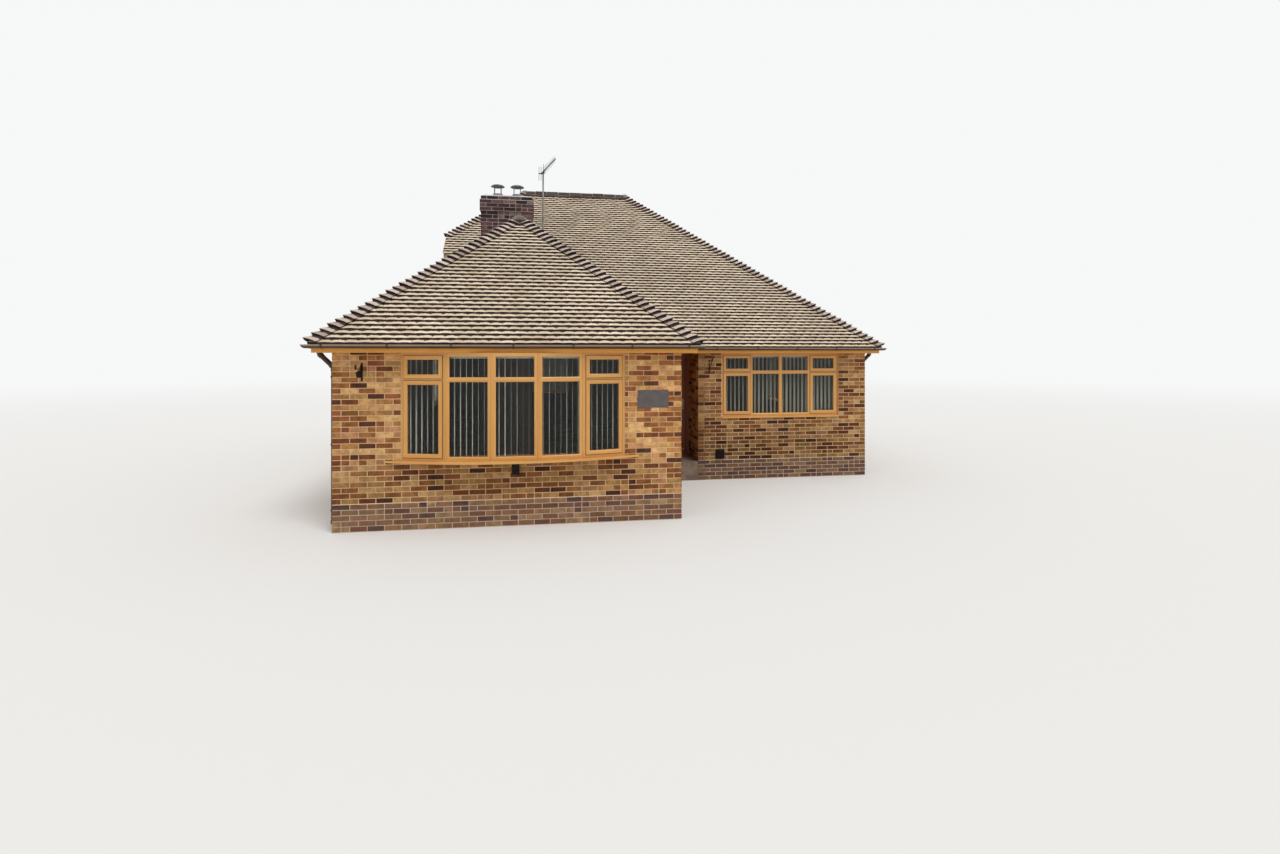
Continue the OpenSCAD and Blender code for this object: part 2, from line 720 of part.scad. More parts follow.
module main_window_frame() color("goldenrod")
  main_window_place() translate([0, window_back, 0]) window_frame(4, light_w, main_win_z, head_z, transom_z);
module main_window_sashes() color("goldenrod")
  main_window_place() translate([0, window_back, 0]) window_sashes(4, light_w, main_win_z, head_z, transom_z);
module main_window_glass() color("lightblue")
  main_window_place() translate([0, window_back, 0]) window_glass(4, light_w, main_win_z, head_z, transom_z);

module other_window_frames() color("goldenrod") {
  for (side = [0, 1]) rear_window_place(side) translate([0, window_back, 0])
    window_frame(4, light_w, main_win_z, head_z, transom_z);
  left_window_place() translate([0, window_back, 0]) window_frame(2, light_w, main_win_z, head_z, transom_z);
  right_window_place() translate([0, window_back, 0]) window_frame(2, light_w, main_win_z, head_z, transom_z);
  dormer_window_place() translate([0, window_back, 0])
    window_frame(3, dormer_light, dormer_win_z, dormer_win_z + dormer_win_h, 0);
}

module other_window_sashes() color("goldenrod") {
  for (side = [0, 1]) rear_window_place(side) translate([0, window_back, 0])
    window_sashes(4, light_w, main_win_z, head_z, transom_z);
  left_window_place() translate([0, window_back, 0]) window_sashes(2, light_w, main_win_z, head_z, transom_z);
  right_window_place() translate([0, window_back, 0]) window_sashes(2, light_w, main_win_z, head_z, transom_z);
  dormer_window_place() translate([0, window_back, 0])
    window_sashes(3, dormer_light, dormer_win_z, dormer_win_z + dormer_win_h, 0);
}

module other_window_glass() color("lightblue") {
  for (side = [0, 1]) rear_window_place(side) translate([0, window_back, 0])
    window_glass(4, light_w, main_win_z, head_z, transom_z);
  left_window_place() translate([0, window_back, 0]) window_glass(2, light_w, main_win_z, head_z, transom_z);
  right_window_place() translate([0, window_back, 0]) window_glass(2, light_w, main_win_z, head_z, transom_z);
  dormer_window_place() translate([0, window_back, 0])
    window_glass(3, dormer_light, dormer_win_z, dormer_win_z + dormer_win_h, 0);
}

module window_sills() color("gray") {
  main_window_place() window_sill(4 * light_w, main_win_z);
  for (side = [0, 1]) rear_window_place(side) window_sill(4 * light_w, main_win_z);
  left_window_place() window_sill(2 * light_w, main_win_z);
  right_window_place() window_sill(2 * light_w, main_win_z);
  dormer_window_place() intersection() {
    window_sill(3 * dormer_light, dormer_win_z);
    translate([0, -2 * sill_out, 0]) cube([3 * dormer_light, dormer_t + 2 * sill_out, far]);
  }
}

// Bow window: five equal lights, each turned by bow_turn from the next, its ends on the wall face

// Direction of light i in degrees, and the plan position of its left front corner
function bow_dir(i) = (i - 2) * bow_turn;
function bow_corner(i) = i == 0 ? [x_left + bow_in, y_front]
  : bow_corner(i - 1) + bow_light * [cos(bow_dir(i - 1)), sin(bow_dir(i - 1))];
bow_w = bow_corner(5)[0] - bow_corner(0)[0];

module bow_light_place(i) translate([bow_corner(i)[0], bow_corner(i)[1], 0]) rotate([0, 0, bow_dir(i)]) children();

module bow_hole() translate([x_left + bow_in - seat, y_front - 1, bow_z - sill_t])
  cube([bow_w + 2 * seat, wall_t + 2, head_z - bow_z + sill_t]);

// Plan of light i, cut at both sides along the line that halves the turn
module bow_cell(i) {
  a = bow_corner(i);
  b = bow_corner(i + 1);
  ca = bow_dir(i) + 90 - (i == 0 ? bow_dir(0) : bow_turn / 2);
  cb = bow_dir(i) + 90 + (i == 4 ? -bow_dir(4) : bow_turn / 2);
  da = frame_depth / cos(i == 0 ? bow_dir(0) : bow_turn / 2);
  db = frame_depth / cos(i == 4 ? bow_dir(4) : bow_turn / 2);
  polygon([a, b, b + db * [cos(cb), sin(cb)], a + da * [cos(ca), sin(ca)]]);
}

module bow_frame() color("goldenrod") difference() {
  for (i = [0:4]) translate([0, 0, bow_z]) linear_extrude(head_z - bow_z) bow_cell(i);
  for (i = [0:4]) bow_light_place(i) for (row = [0, 1]) {
    za = row == 0 ? bow_z + frame_face : transom_z + frame_face / 2;
    zb = row == 1 ? head_z - frame_face : transom_z - frame_face / 2;
    opens = (i == 0 || i == 4);
    b = opens ? 0 : bead;
    translate([frame_face + b, -50, za + b])
      cube([bow_light - 2 * frame_face - 2 * b, frame_depth + 100, zb - za - 2 * b]);
    if (!opens) translate([frame_face, bead * 2, za])
      cube([bow_light - 2 * frame_face, frame_depth, zb - za]);
  }
}

module bow_sashes() color("goldenrod") for (i = [0, 4]) bow_light_place(i) {
  sash(frame_face, bow_light - frame_face, bow_z + frame_face, transom_z - frame_face / 2);
  sash(frame_face, bow_light - frame_face, transom_z + frame_face / 2, head_z - frame_face);
}

module bow_glass() color("lightblue") for (i = [0:4]) bow_light_place(i) for (row = [0, 1]) {
  za = row == 0 ? bow_z + frame_face : transom_z + frame_face / 2;
  zb = row == 1 ? head_z - frame_face : transom_z - frame_face / 2;
  opens = (i == 0 || i == 4);
  b = opens ? sash_face - bead : 0;
  pane(frame_face + b, bow_light - frame_face - b, za + b, zb - b, bead * 2 - (opens ? sash_proud : 0));
}

// Sill board with a curved front edge, lying on the wall inside the opening
module bow_sill() color("peru") {
  half = bow_w / 2 + bow_sill_past;
  sill_r = (half * half + bow_sill_out * bow_sill_out) / (2 * bow_sill_out);
  translate([x_left + bow_in + bow_w / 2, y_front, bow_z - sill_t]) {
    intersection() {
      translate([0, sill_r - bow_sill_out, 0]) cylinder(r = sill_r, h = sill_t, $fn = 720);
      translate([-half, -bow_sill_out - 10, -1]) cube([2 * half, bow_sill_out + 10, sill_t + 2]);
    }
    translate([-bow_w / 2, -1, 0]) cube([bow_w, wall_t + 1, sill_t]);
  }
}

module bow_bracket() color("#2a2320") {
  w = 100;
  drop = 200;
  out = 180;
  toe = 25;
  heel = 30;
  translate([x_left + bow_in + bow_w / 2 - w / 2, y_front, bow_z - sill_t - seat]) rotate([90, 0, 90])
    linear_extrude(w) polygon([[0, 0], [-out, 0], [-out, -toe], [-heel, -drop], [0, -drop]]);
}

// Porch and front door

module door_step() color("gray")
  translate([x_wing, y_main, 0]) cube([porch_w, porch_deep + door_depth, floor_z - threshold_h]);

leaf_x0 = x_wing + door_face + leaf_gap;
leaf_x1 = x_porch - door_face - lock_gap;
leaf_z0 = floor_z + leaf_gap;
leaf_z1 = head_z - door_face - leaf_gap;
leaf_y1 = y_door + door_depth;
leaf_y0 = leaf_y1 - leaf_t;
hinge_x = leaf_x0 - leaf_gap;
knuckle_r = 6.5;
pin_r = 5;
hinge_y = leaf_y1 + knuckle_r + 0.5;
hinge_h = 100;
hinge_in = 150;
hinge_zs = [leaf_z0 + hinge_in, (leaf_z0 + leaf_z1 - hinge_h) / 2, leaf_z1 - hinge_in - hinge_h];
leafplate_t = 2.5;
leafplate_w = 40;

module door_frame() color("saddlebrown") {
  stop = 12;
  difference() {
    translate([x_wing, y_door, floor_z - threshold_h]) cube([porch_w, door_depth, head_z - floor_z + threshold_h]);
    translate([x_wing + door_face, leaf_y0 - leaf_gap, floor_z])
      cube([porch_w - 2 * door_face, door_depth, head_z - door_face - floor_z]);
    translate([x_wing + door_face + stop, y_door - 1, floor_z])
      cube([porch_w - 2 * (door_face + stop), door_depth + 2, head_z - door_face - stop - floor_z]);
  }
}

// Panelled leaf, hung on the left jamb and opening inwards
module front_door() color("saddlebrown") {
  stile = 115;
  bottom_rail = 200;
  sunk = 10;
  w = leaf_x1 - leaf_x0;
  h = leaf_z1 - leaf_z0;
  // foot and height of each row of panels
  rows = [[bottom_rail, h * 0.34], [h * 0.44, h * 0.30], [h * 0.80, h * 0.13]];
  difference() {
    translate([leaf_x0, leaf_y0, leaf_z0]) cube([w, leaf_t, h]);
    for (face = [0, 1]) for (col = [0, 1]) for (row = rows)
      translate([leaf_x0 + stile + col * (w - stile) / 2, leaf_y0 + (face == 0 ? -1 : leaf_t - sunk),
        leaf_z0 + row[0]]) cube([(w - 3 * stile) / 2, sunk + 1, row[1]]);
  }
}

// Butt hinges: on the jamb a plate, a lower knuckle and the pin, on the leaf a plate and an upper knuckle
module jamb_hinges() color("gold") for (z = hinge_zs) {
  translate([hinge_x - leafplate_w, leaf_y1 + seat, z]) cube([leafplate_w - knuckle_r - 1, leafplate_t, hinge_h]);
  translate([hinge_x - leafplate_w, leaf_y1 + seat, z]) cube([leafplate_w, leafplate_t, hinge_h / 2]);
  translate([hinge_x, hinge_y, z]) cylinder(r = knuckle_r, h = hinge_h / 2);
  translate([hinge_x, hinge_y, z]) cylinder(r = pin_r, h = hinge_h);
}

module leaf_hinges() color("gold") for (z = hinge_zs) difference() {
  union() {
    translate([hinge_x + knuckle_r - 2, leaf_y1 + seat, z + hinge_h / 2 + seat])
      cube([leafplate_w, leafplate_t, hinge_h / 2 - seat]);
    translate([hinge_x, leaf_y1 + seat + 0.2, z + hinge_h / 2 + seat]) cube([knuckle_r, 2 * leafplate_t, hinge_h / 2 - seat]);
    translate([hinge_x, hinge_y, z + hinge_h / 2 + seat]) cylinder(r = knuckle_r, h = hinge_h / 2 - seat);
  }
  translate([hinge_x, hinge_y, z]) cylinder(r = pin_r + seat, h = 2 * hinge_h);
}

module door_furniture() color("gold") {
  handle_z = 1000;
  handle_in = 60;
  plate_t = 8;
  plate_w = 40;
  plate_h = 220;
  neck_d = 18;
  neck_h = 40;
  lever_t = 12;
  lever = 110;
  slot_z = 760;
  slot_w = 260;
  slot_h = 70;
  slot_t = 10;
  for (face = [-1, 1]) translate([leaf_x1 - handle_in, face < 0 ? leaf_y0 : leaf_y1, leaf_z0 + handle_z]) {
    translate([-plate_w / 2, face < 0 ? -plate_t : seat, -plate_h / 2]) cube([plate_w, plate_t - seat, plate_h]);
    rotate([-90 * face, 0, 0]) translate([0, 0, plate_t - 1]) cylinder(d = neck_d, h = neck_h);
    translate([-lever, face < 0 ? -neck_h - lever_t : neck_h, -neck_d / 2]) cube([lever + neck_d / 2, lever_t, neck_d]);
  }
  translate([(leaf_x0 + leaf_x1 - slot_w) / 2, leaf_y0 - slot_t, leaf_z0 + slot_z]) cube([slot_w, slot_t - seat, slot_h]);
}

// Chimney

module chimney_shaft() translate([x_stack, y_stack, -1]) cube([chimney_w, chimney_d, far / 2]);

module chimney_stack() color("brown") {
  translate([x_stack, y_stack, floor_z]) cube([chimney_w, chimney_d, chimney_z - floor_z]);
  translate([x_stack - oversail, y_stack - oversail, chimney_z - 4 * course])
    cube([chimney_w + 2 * oversail, chimney_d + 2 * oversail, 3 * course]);
}

module chimney_flaunching() color("silver") {
  edge_in = 5;
  edge_h = 8;
  slope_in = 90;
  hull() {
    translate([x_stack + edge_in, y_stack + edge_in, chimney_z])
      cube([chimney_w - 2 * edge_in, chimney_d - 2 * edge_in, edge_h]);
    translate([x_stack + slope_in, y_stack + slope_in, chimney_z])
      cube([chimney_w - 2 * slope_in, chimney_d - 2 * slope_in, flaunch_h]);
  }
}

// Round base, four legs and a conical cap
module chimney_cowls() color("dimgray") for (side = [-1, 1])
  translate([x_stack + chimney_w / 2 + side * cowl_off, y_stack + chimney_d / 2, chimney_z + flaunch_h]) {
    base_d = 200;
    base_h = 60;
    wall = 15;
    leg_d = 14;
    cap_h = 25;
    cap_taper = 60;
    difference() {
      cylinder(d = base_d, h = base_h);
      translate([0, 0, wall]) cylinder(d = base_d - 2 * wall, h = base_h);
    }
    for (a = [45:90:315]) rotate([0, 0, a]) translate([base_d / 2 - wall / 2, 0, base_h - 5])
      cylinder(d = leg_d, h = cowl_h - cap_h - base_h + 10);
    translate([0, 0, cowl_h - cap_h]) cylinder(d1 = cowl_d, d2 = cowl_d - cap_taper, h = cap_h);
  }

// Aerial on a mast that is strapped to the side of the chimney
mast_x = x_stack + chimney_w + mast_gap;
mast_y = y_stack + chimney_d / 2;
mast_foot = chimney_z - mast_drop;
mast_top = chimney_z + mast_rise;
mast_d = 32;
mast_wall = 3;
clamp_h = 26;

module aerial_mast() color("silver") {
  collar = 7;
  strap_h = 30;
  strap_w = 24;
  foot_w = 120;
  foot_h = 110;
  foot_t = 6;
  strap_z = mast_foot + 70;
  difference() {
    translate([mast_x, mast_y, mast_foot]) cylinder(d = mast_d, h = mast_top - mast_foot);
    translate([mast_x, mast_y, mast_foot - 1]) cylinder(d = mast_d - 2 * mast_wall, h = mast_top - mast_foot + 2);
  }
  for (z = [strap_z, strap_z + mast_step]) {
    translate([mast_x - mast_gap + seat, mast_y - strap_w / 2, z])
      cube([mast_gap - mast_d / 2 + 2, strap_w, strap_h]);
    translate([mast_x - mast_gap + seat, mast_y - foot_w / 2, z - (foot_h - strap_h) / 2])
      cube([foot_t, foot_w, foot_h]);
    difference() {
      translate([mast_x, mast_y, z]) cylinder(d = mast_d + 2 * collar, h = strap_h);
      translate([mast_x, mast_y, z - 1]) cylinder(d = mast_d - 1, h = strap_h + 2);
    }
  }
}

// Boom on a clamp round the top of the mast, braced by a short cradle arm, with upright directors and dipole,
// and a reflector of upright rods at its tail
module aerial_head() color("silver")
  translate([mast_x, mast_y, mast_top - clamp_h]) rotate([0, 0, boom_turn]) {
    clamp_w = 44;
    bar = 16;
    tail = 170;
    rod_d = 6;
    director_h = 190;
    director_gap = 85;
    director_taper = 6;
    first_director = 120;
    dipole_x = 30;
    thick_d = 9;
    reflector_h = 290;
    reflector_w = 90;
    reflector_x = -tail - 2;
    cradle = 330;
    cradle_w = 12;
    rod_z = clamp_h + seat + bar / 2;
    translate([-tail, -bar / 2, clamp_h + seat]) cube([boom, bar, bar]);
    difference() {
      translate([-clamp_w / 2, -clamp_w / 2, 0]) cube([clamp_w, clamp_w, clamp_h + seat]);
      translate([0, 0, -1]) cylinder(d = mast_d + 2 * seat, h = clamp_h + 1 + seat);
    }
    for (x = [first_director:director_gap:boom - tail - bar]) {
      h = director_h - director_taper * x / director_gap;
      translate([x, 0, rod_z - h / 2]) cylinder(d = rod_d, h = h, $fn = 12);
    }
    translate([dipole_x, 0, rod_z - reflector_h / 2]) cylinder(d = thick_d, h = reflector_h, $fn = 12);
    translate([reflector_x, -reflector_w / 2 - bar / 2, rod_z - bar / 2 - 2]) cube([bar, reflector_w + bar, bar + 4]);
    for (side = [-1, 0, 1]) translate([reflector_x + bar / 2, side * reflector_w / 2, rod_z - reflector_h / 2])
      cylinder(d = thick_d, h = reflector_h, $fn = 12);
    translate([0, cradle_w / 2, 0]) rotate([90, 0, 0]) linear_extrude(cradle_w)
      polygon([[clamp_w / 2 - 1, 3], [cradle, rod_z - 1], [cradle - cradle_w, rod_z + 1], [clamp_w / 2 - 1, 3 + cradle_w]]);
  }

// Small fixtures on the front walls

module name_plate() color("slategray") {
  plate_t = 12;
  translate([x_wing - plate_in - plate_w, y_front - plate_t, plate_z]) cube([plate_w, plate_t - seat, plate_h]);
}

// Flat ring bent from bar, standing in the plane x = 0 round its centre
module scroll_ring(r, bar) rotate([90, 0, 90]) linear_extrude(bar, center = true) difference() {
  circle(r + bar / 2, $fn = 24);
  circle(r - bar / 2, $fn = 24);
}

// Slim wrought bracket with a small lantern hung from its arm: upright, arm with scrolls, hood and body
module wall_lantern() color("#222222") translate([x_left + lantern_in, y_front, lantern_z]) {
  bar = 10;
  upright_w = 24;
  upright_h = 255;
  upright_t = 8;
  upright_z = -15;
  reach = 300;
  arm_z = 150;
  scroll_r = 26;
  scroll_y = -upright_t - scroll_r - bar / 2 + 1;
  body_d = 78;
  body_taper = 18;
  body_h = 58;
  hood_h = 34;
  hood_top = 22;
  hang = 150;
  link_d = 8;
  hood_z = arm_z - body_taper - hood_h;
  translate([-upright_w / 2, -upright_t, upright_z]) cube([upright_w, upright_t - seat, upright_h]);
  translate([-bar / 2, -reach, arm_z]) cube([bar, reach - upright_t / 2, bar]);
  translate([0, -reach, arm_z + bar / 2 + scroll_r]) scroll_ring(scroll_r, bar);
  translate([0, scroll_y, arm_z + bar + scroll_r - 1]) scroll_ring(scroll_r, bar);
  translate([0, scroll_y, arm_z - scroll_r + 1]) scroll_ring(scroll_r, bar);
  translate([0, -hang, hood_z + hood_h - 2]) cylinder(d = link_d, h = arm_z - hood_z - hood_h + 4, $fn = 12);
  translate([0, -hang, hood_z]) cylinder(d1 = body_d + body_taper, d2 = hood_top, h = hood_h, $fn = 6);
  translate([0, -hang, hood_z - body_h]) cylinder(d1 = body_d - body_taper, d2 = body_d, h = body_h, $fn = 6);
}

// Bracket for a hanging basket: upright, arm with a scroll at its tip, and a raking stay
module basket_bracket() color("#222222") translate([x_porch + basket_in, y_main, basket_z]) {
  bar = 12;
  upright_w = 20;
  upright_h = 280;
  upright_t = 6;
  reach = 230;
  arm_z = 250;
  stay_foot = 40;
  stay_w = 17;
  stay_top = 40;
  scroll_r = 20;
  translate([-upright_w / 2, -upright_t, 0]) cube([upright_w, upright_t - seat, upright_h]);
  translate([-bar / 2, -reach, arm_z]) cube([bar, reach - upright_t / 2, bar]);
  translate([0, -reach, arm_z + bar / 2 + scroll_r]) scroll_ring(scroll_r, bar);
  translate([-bar / 2, 0, 0]) rotate([90, 0, 90]) linear_extrude(bar)
    polygon([[2 - upright_t, stay_foot], [2 - upright_t, stay_foot + stay_w], [stay_top - reach, arm_z + 2],
      [stay_top - 10 - reach, arm_z + 2]]);
}

// Cowled ventilator beside the porch: a flange on the wall and a box with sloping louvres in its face
module wall_vent() color("#181818") {
  vent_w = 175;
  vent_h = 180;
  vent_t = 60;
  flange = 12;
  flange_t = 5;
  slots = 4;
  slot_tilt = 25;
  slot_deep = 16;
  slot_h = 14;
  translate([x_porch + vent_in, y_main, vent_z]) {
    translate([-vent_w / 2, -flange_t, 0]) cube([vent_w, flange_t - seat, vent_h]);
    difference() {
      translate([-vent_w / 2 + flange, -vent_t, flange]) cube([vent_w - 2 * flange, vent_t - seat, vent_h - 2 * flange]);
      for (i = [0:slots - 1])
        translate([-vent_w / 2 + 2 * flange, -vent_t, 2 * flange + i * (vent_h - 3 * flange) / slots]) rotate([-slot_tilt, 0, 0]) translate([0, -slot_deep, 0]) cube([vent_w - 4 * flange, 2 * slot_deep, slot_h]);
    }
  }
}

ground_floor();
wing_front_wall();
wing_right_wall();
left_wall();
porch_return_wall();
door_lintel();
main_front_wall();
right_wall();
rear_wall();
loft_floor();
wing_front_slope();
wing_right_slope();
left_front_slope();
left_foot_slope();
left_rear_slope();
main_front_slope();
rear_slope();
right_slope();
dormer_half_hip();
dormer_gable_wall();
dormer_cheeks();
ridge_tiles();
fascia();
soffit();
gutter();
gutter_brackets();
downpipes();
bow_frame();
bow_sashes();
bow_glass();
bow_sill();
bow_bracket();
main_window_frame();
main_window_sashes();
main_window_glass();
other_window_frames();
other_window_sashes();
other_window_glass();
window_sills();
door_frame();
front_door();
jamb_hinges();
leaf_hinges();
door_furniture();
door_step();
chimney_stack();
chimney_flaunching();
chimney_cowls();
aerial_mast();
aerial_head();
name_plate();
wall_lantern();
basket_bracket();
wall_vent();
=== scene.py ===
import math

import bpy
import numpy as np
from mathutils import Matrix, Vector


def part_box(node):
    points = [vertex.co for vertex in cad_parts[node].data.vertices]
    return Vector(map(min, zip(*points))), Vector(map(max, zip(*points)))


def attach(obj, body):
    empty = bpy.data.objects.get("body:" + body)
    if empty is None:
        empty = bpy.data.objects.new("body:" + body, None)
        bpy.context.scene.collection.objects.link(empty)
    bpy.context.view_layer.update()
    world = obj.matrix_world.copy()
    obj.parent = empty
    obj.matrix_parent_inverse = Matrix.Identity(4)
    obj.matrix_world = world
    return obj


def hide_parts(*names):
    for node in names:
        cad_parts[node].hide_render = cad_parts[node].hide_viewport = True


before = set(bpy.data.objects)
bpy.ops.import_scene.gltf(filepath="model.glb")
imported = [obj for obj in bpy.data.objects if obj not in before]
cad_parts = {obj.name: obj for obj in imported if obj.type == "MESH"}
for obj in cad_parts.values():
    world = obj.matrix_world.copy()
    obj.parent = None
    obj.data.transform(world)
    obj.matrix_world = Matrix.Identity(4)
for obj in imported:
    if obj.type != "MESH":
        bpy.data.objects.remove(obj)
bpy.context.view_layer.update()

# The camera stands where the photograph was taken, level, a little above head height on the drive,
# and is turned slightly to the right. Its shift lifts the horizon as the photograph's framing does.

EYE = (-1.812, -14.689, 2.410)
TURN_RIGHT = math.radians(8.923)
camera = bpy.data.objects.new("camera", bpy.data.cameras.new("camera"))
camera.data.sensor_width = 36.0
camera.data.lens = 17.679
camera.data.shift_y = -0.0564
camera.data.clip_end = 500.0
camera.location = EYE
camera.rotation_euler = (math.pi / 2, 0.0, -TURN_RIGHT)
bpy.context.collection.objects.link(camera)
bpy.context.scene.camera = camera
bpy.context.scene.view_settings.view_transform = "Standard"

# The studio is a pale round floor that runs out into a pale backdrop, one large soft lamp from the
# front right, and an even light from all round. Neither is part of the house.

BACKDROP = (0.93, 0.935, 0.94, 1.0)
FLOOR = (0.80, 0.80, 0.79, 1.0)
FLOOR_R = 150.0
FLOOR_SIDES = 96
FADE_FROM = 14.0
FADE_TO = 60.0
EVEN_LIGHT = 0.72


def wire(tree, kind, inputs=(), **settings):
    """Adds one node. settings are its own properties; inputs maps a socket's name or number to a number,
    a colour or another node's output."""
    made = tree.nodes.new(kind)
    for key, value in settings.items():
        setattr(made, key, value)
    for key, value in dict(inputs).items():
        if isinstance(value, bpy.types.NodeSocket):
            tree.links.new(value, made.inputs[key])
        else:
            made.inputs[key].default_value = value
    return made


def blank_material(name):
    """A material with an empty node tree."""
    material = bpy.data.materials.new(name)
    material.use_nodes = True
    material.node_tree.nodes.clear()
    return material


def calculate(tree, operation, first, second=0.5, clamp=False):
    """One Math node."""
    return wire(tree, "ShaderNodeMath", {0: first, 1: second}, operation=operation,
                use_clamp=clamp).outputs[0]


def seen_directly(tree):
    """1 for rays from the camera, off a gloss or through glass, and 0 for the rest."""
    path = wire(tree, "ShaderNodeLightPath").outputs
    either = calculate(tree, "MAXIMUM", path["Is Camera Ray"], path["Is Glossy Ray"])
    return calculate(tree, "MAXIMUM", either, path["Is Transmission Ray"])


world = bpy.data.worlds.new("studio")
world.use_nodes = True
sky = world.node_tree
sky.nodes.clear()
soft = wire(sky, "ShaderNodeBackground", {"Color": (1.0, 1.0, 1.0, 1.0), "Strength": EVEN_LIGHT})
drop = wire(sky, "ShaderNodeBackground", {"Color": BACKDROP, "Strength": 1.0})
shown = wire(sky, "ShaderNodeMixShader", {0: seen_directly(sky), 1: soft.outputs[0], 2: drop.outputs[0]})
wire(sky, "ShaderNodeOutputWorld", {"Surface": shown.outputs[0]})
bpy.context.scene.world = world

lamp = bpy.data.objects.new("key_lamp", bpy.data.lights.new("key_lamp", "SUN"))
lamp.data.energy = 1.35
lamp.data.angle = math.radians(26.0)
lamp.data.color = (1.0, 0.98, 0.95)
lamp.rotation_euler = (math.radians(35.0), 0.0, math.radians(28.0))
bpy.context.collection.objects.link(lamp)

floor_finish = blank_material("floor_finish")
tree = floor_finish.node_tree
spot = wire(tree, "ShaderNodeTexCoord").outputs["Object"]
away = wire(tree, "ShaderNodeVectorMath", {0: spot}, operation="LENGTH").outputs["Value"]
fade = wire(tree, "ShaderNodeMapRange", {"Value": away, "From Min": FADE_FROM, "From Max": FADE_TO},
            interpolation_type="SMOOTHSTEP").outputs[0]
fade = calculate(tree, "MULTIPLY", fade, seen_directly(tree))
matt = wire(tree, "ShaderNodeBsdfDiffuse", {"Color": FLOOR})
glow = wire(tree, "ShaderNodeEmission", {"Color": BACKDROP, "Strength": 1.0})
shown = wire(tree, "ShaderNodeMixShader", {0: fade, 1: matt.outputs[0], 2: glow.outputs[0]})
wire(tree, "ShaderNodeOutputMaterial", {"Surface": shown.outputs[0]})

turn = np.linspace(0.0, 2.0 * math.pi, FLOOR_SIDES, endpoint=False)
rim = np.stack([FLOOR_R * np.cos(turn), FLOOR_R * np.sin(turn), np.zeros(FLOOR_SIDES)], axis=1)
floor_mesh = bpy.data.meshes.new("studio_floor")
floor_mesh.from_pydata(rim.tolist(), [], [list(range(FLOOR_SIDES))])
floor_mesh.materials.append(floor_finish)
studio_floor = bpy.data.objects.new("studio_floor", floor_mesh)
bpy.context.collection.objects.link(studio_floor)

# The cavity walls show as multi-stock facing bricks, 215 by 65 mm in stretcher bond, buff, brown, red
# and dark, standing a few millimetres proud of pale mortar. The CAD walls are the mortar.

BRICK_PITCH = 0.225
COURSE = 0.075
JOINT = 0.011
PROUD = 0.004
UNEVEN = 0.0012
ROUGH_FACE = 0.0008
BRICK_BACK = 0.006
BRICK_EDGE = 0.003
BRICK_POINTS = 12
BRICK_FACES = 10
BRICK_SHADES = (0.94, 1.06)
SNAPPED = 0.09
SNAPPED_COURSES = 0.07
SNAPPED_COURSE = 0.55
SMALLEST_CUT = 0.018
PUTTY_GAP = 0.004
HEAD_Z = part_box("soffit")[0][2]
MAIN_LIGHT = 0.600
SILL_T = 0.032
REAR_WINDOW_IN = 2.484
LOW_COURSES_DARK = 0.68
LOW_COURSES_Z = (0.75, 1.05)
FACE_SHARES = (0.0, 0.2, 0.8, 0.9)
FACE_PAINTED_LIGHT = (0.90, 0.93, 0.98, 1.20)
dice = np.random.default_rng(1964)

x_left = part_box("left_wall")[0][0]
x_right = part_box("right_wall")[1][0]
x_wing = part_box("wing_front_wall")[1][0]
x_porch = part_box("porch_return_wall")[0][0]
y_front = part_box("wing_front_wall")[0][1]
y_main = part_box("main_front_wall")[0][1]
y_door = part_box("door_frame")[0][1]
y_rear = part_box("rear_wall")[1][1]
y_ridge = (y_main + y_rear) / 2
main_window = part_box("main_window_frame")
bow_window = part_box("bow_frame")


def srgb(red, green, blue):
    """A colour named in the 0 to 255 steps of a picture, as linear RGBA."""
    steps = np.array([red, green, blue]) / 255.0
    linear = np.where(steps <= 0.04045, steps / 12.92, ((steps + 0.055) / 1.055) ** 2.4)
    return (*linear.tolist(), 1.0)


def ramp(tree, value, stops, blend="LINEAR"):
    """Colour ramp over stops of (position, colour in picture steps), fed by value."""
    made = wire(tree, "ShaderNodeValToRGB", {"Fac": value})
    elements = made.color_ramp.elements
    made.color_ramp.interpolation = blend
    while len(elements) < len(stops):
        elements.new(1.0)
    for element, (position, colour) in zip(elements, stops):
        element.position = position
        element.color = srgb(*colour)
    return made.outputs["Color"]


def mix_colour(tree, share, first, second, blend="MIX"):
    """second over first by share. Three numbers are a colour in picture steps, four are linear RGBA."""
    first, second = (srgb(*side) if isinstance(side, tuple) and len(side) == 3 else side
                     for side in (first, second))
    return wire(tree, "ShaderNodeMix", {0: share, 6: first, 7: second}, data_type="RGBA",
                blend_type=blend).outputs[2]


def tinge(tree, mask, share, colour, paint):
    """paint over colour by a share of a mask."""
    return mix_colour(tree, calculate(tree, "MULTIPLY", mask, share), colour, paint)


def spread(tree, value, low, high, to_low=0.0, to_high=1.0):
    """value from low to high, carried smoothly to to_low to to_high."""
    sockets = {"Value": value, "From Min": low, "From Max": high, "To Min": to_low, "To Max": to_high}
    return wire(tree, "ShaderNodeMapRange", sockets, interpolation_type="SMOOTHSTEP").outputs[0]


def noise(tree, scale, detail=3.0, rough=0.55, where=None):
    """Noise in object space, scale ripples to the metre."""
    if where is None:
        where = wire(tree, "ShaderNodeTexCoord").outputs["Object"]
    sockets = {"Vector": where, "Scale": scale, "Detail": detail, "Roughness": rough}
    return wire(tree, "ShaderNodeTexNoise", sockets).outputs["Fac"]


def object_height(tree):
    """Height over the ground, in metres."""
    spot = wire(tree, "ShaderNodeTexCoord").outputs["Object"]
    return wire(tree, "ShaderNodeSeparateXYZ", {0: spot}).outputs["Z"]


def attribute(tree, name):
    """A value that the piece's mesh carries."""
    return wire(tree, "ShaderNodeAttribute", attribute_name=name).outputs["Fac"]


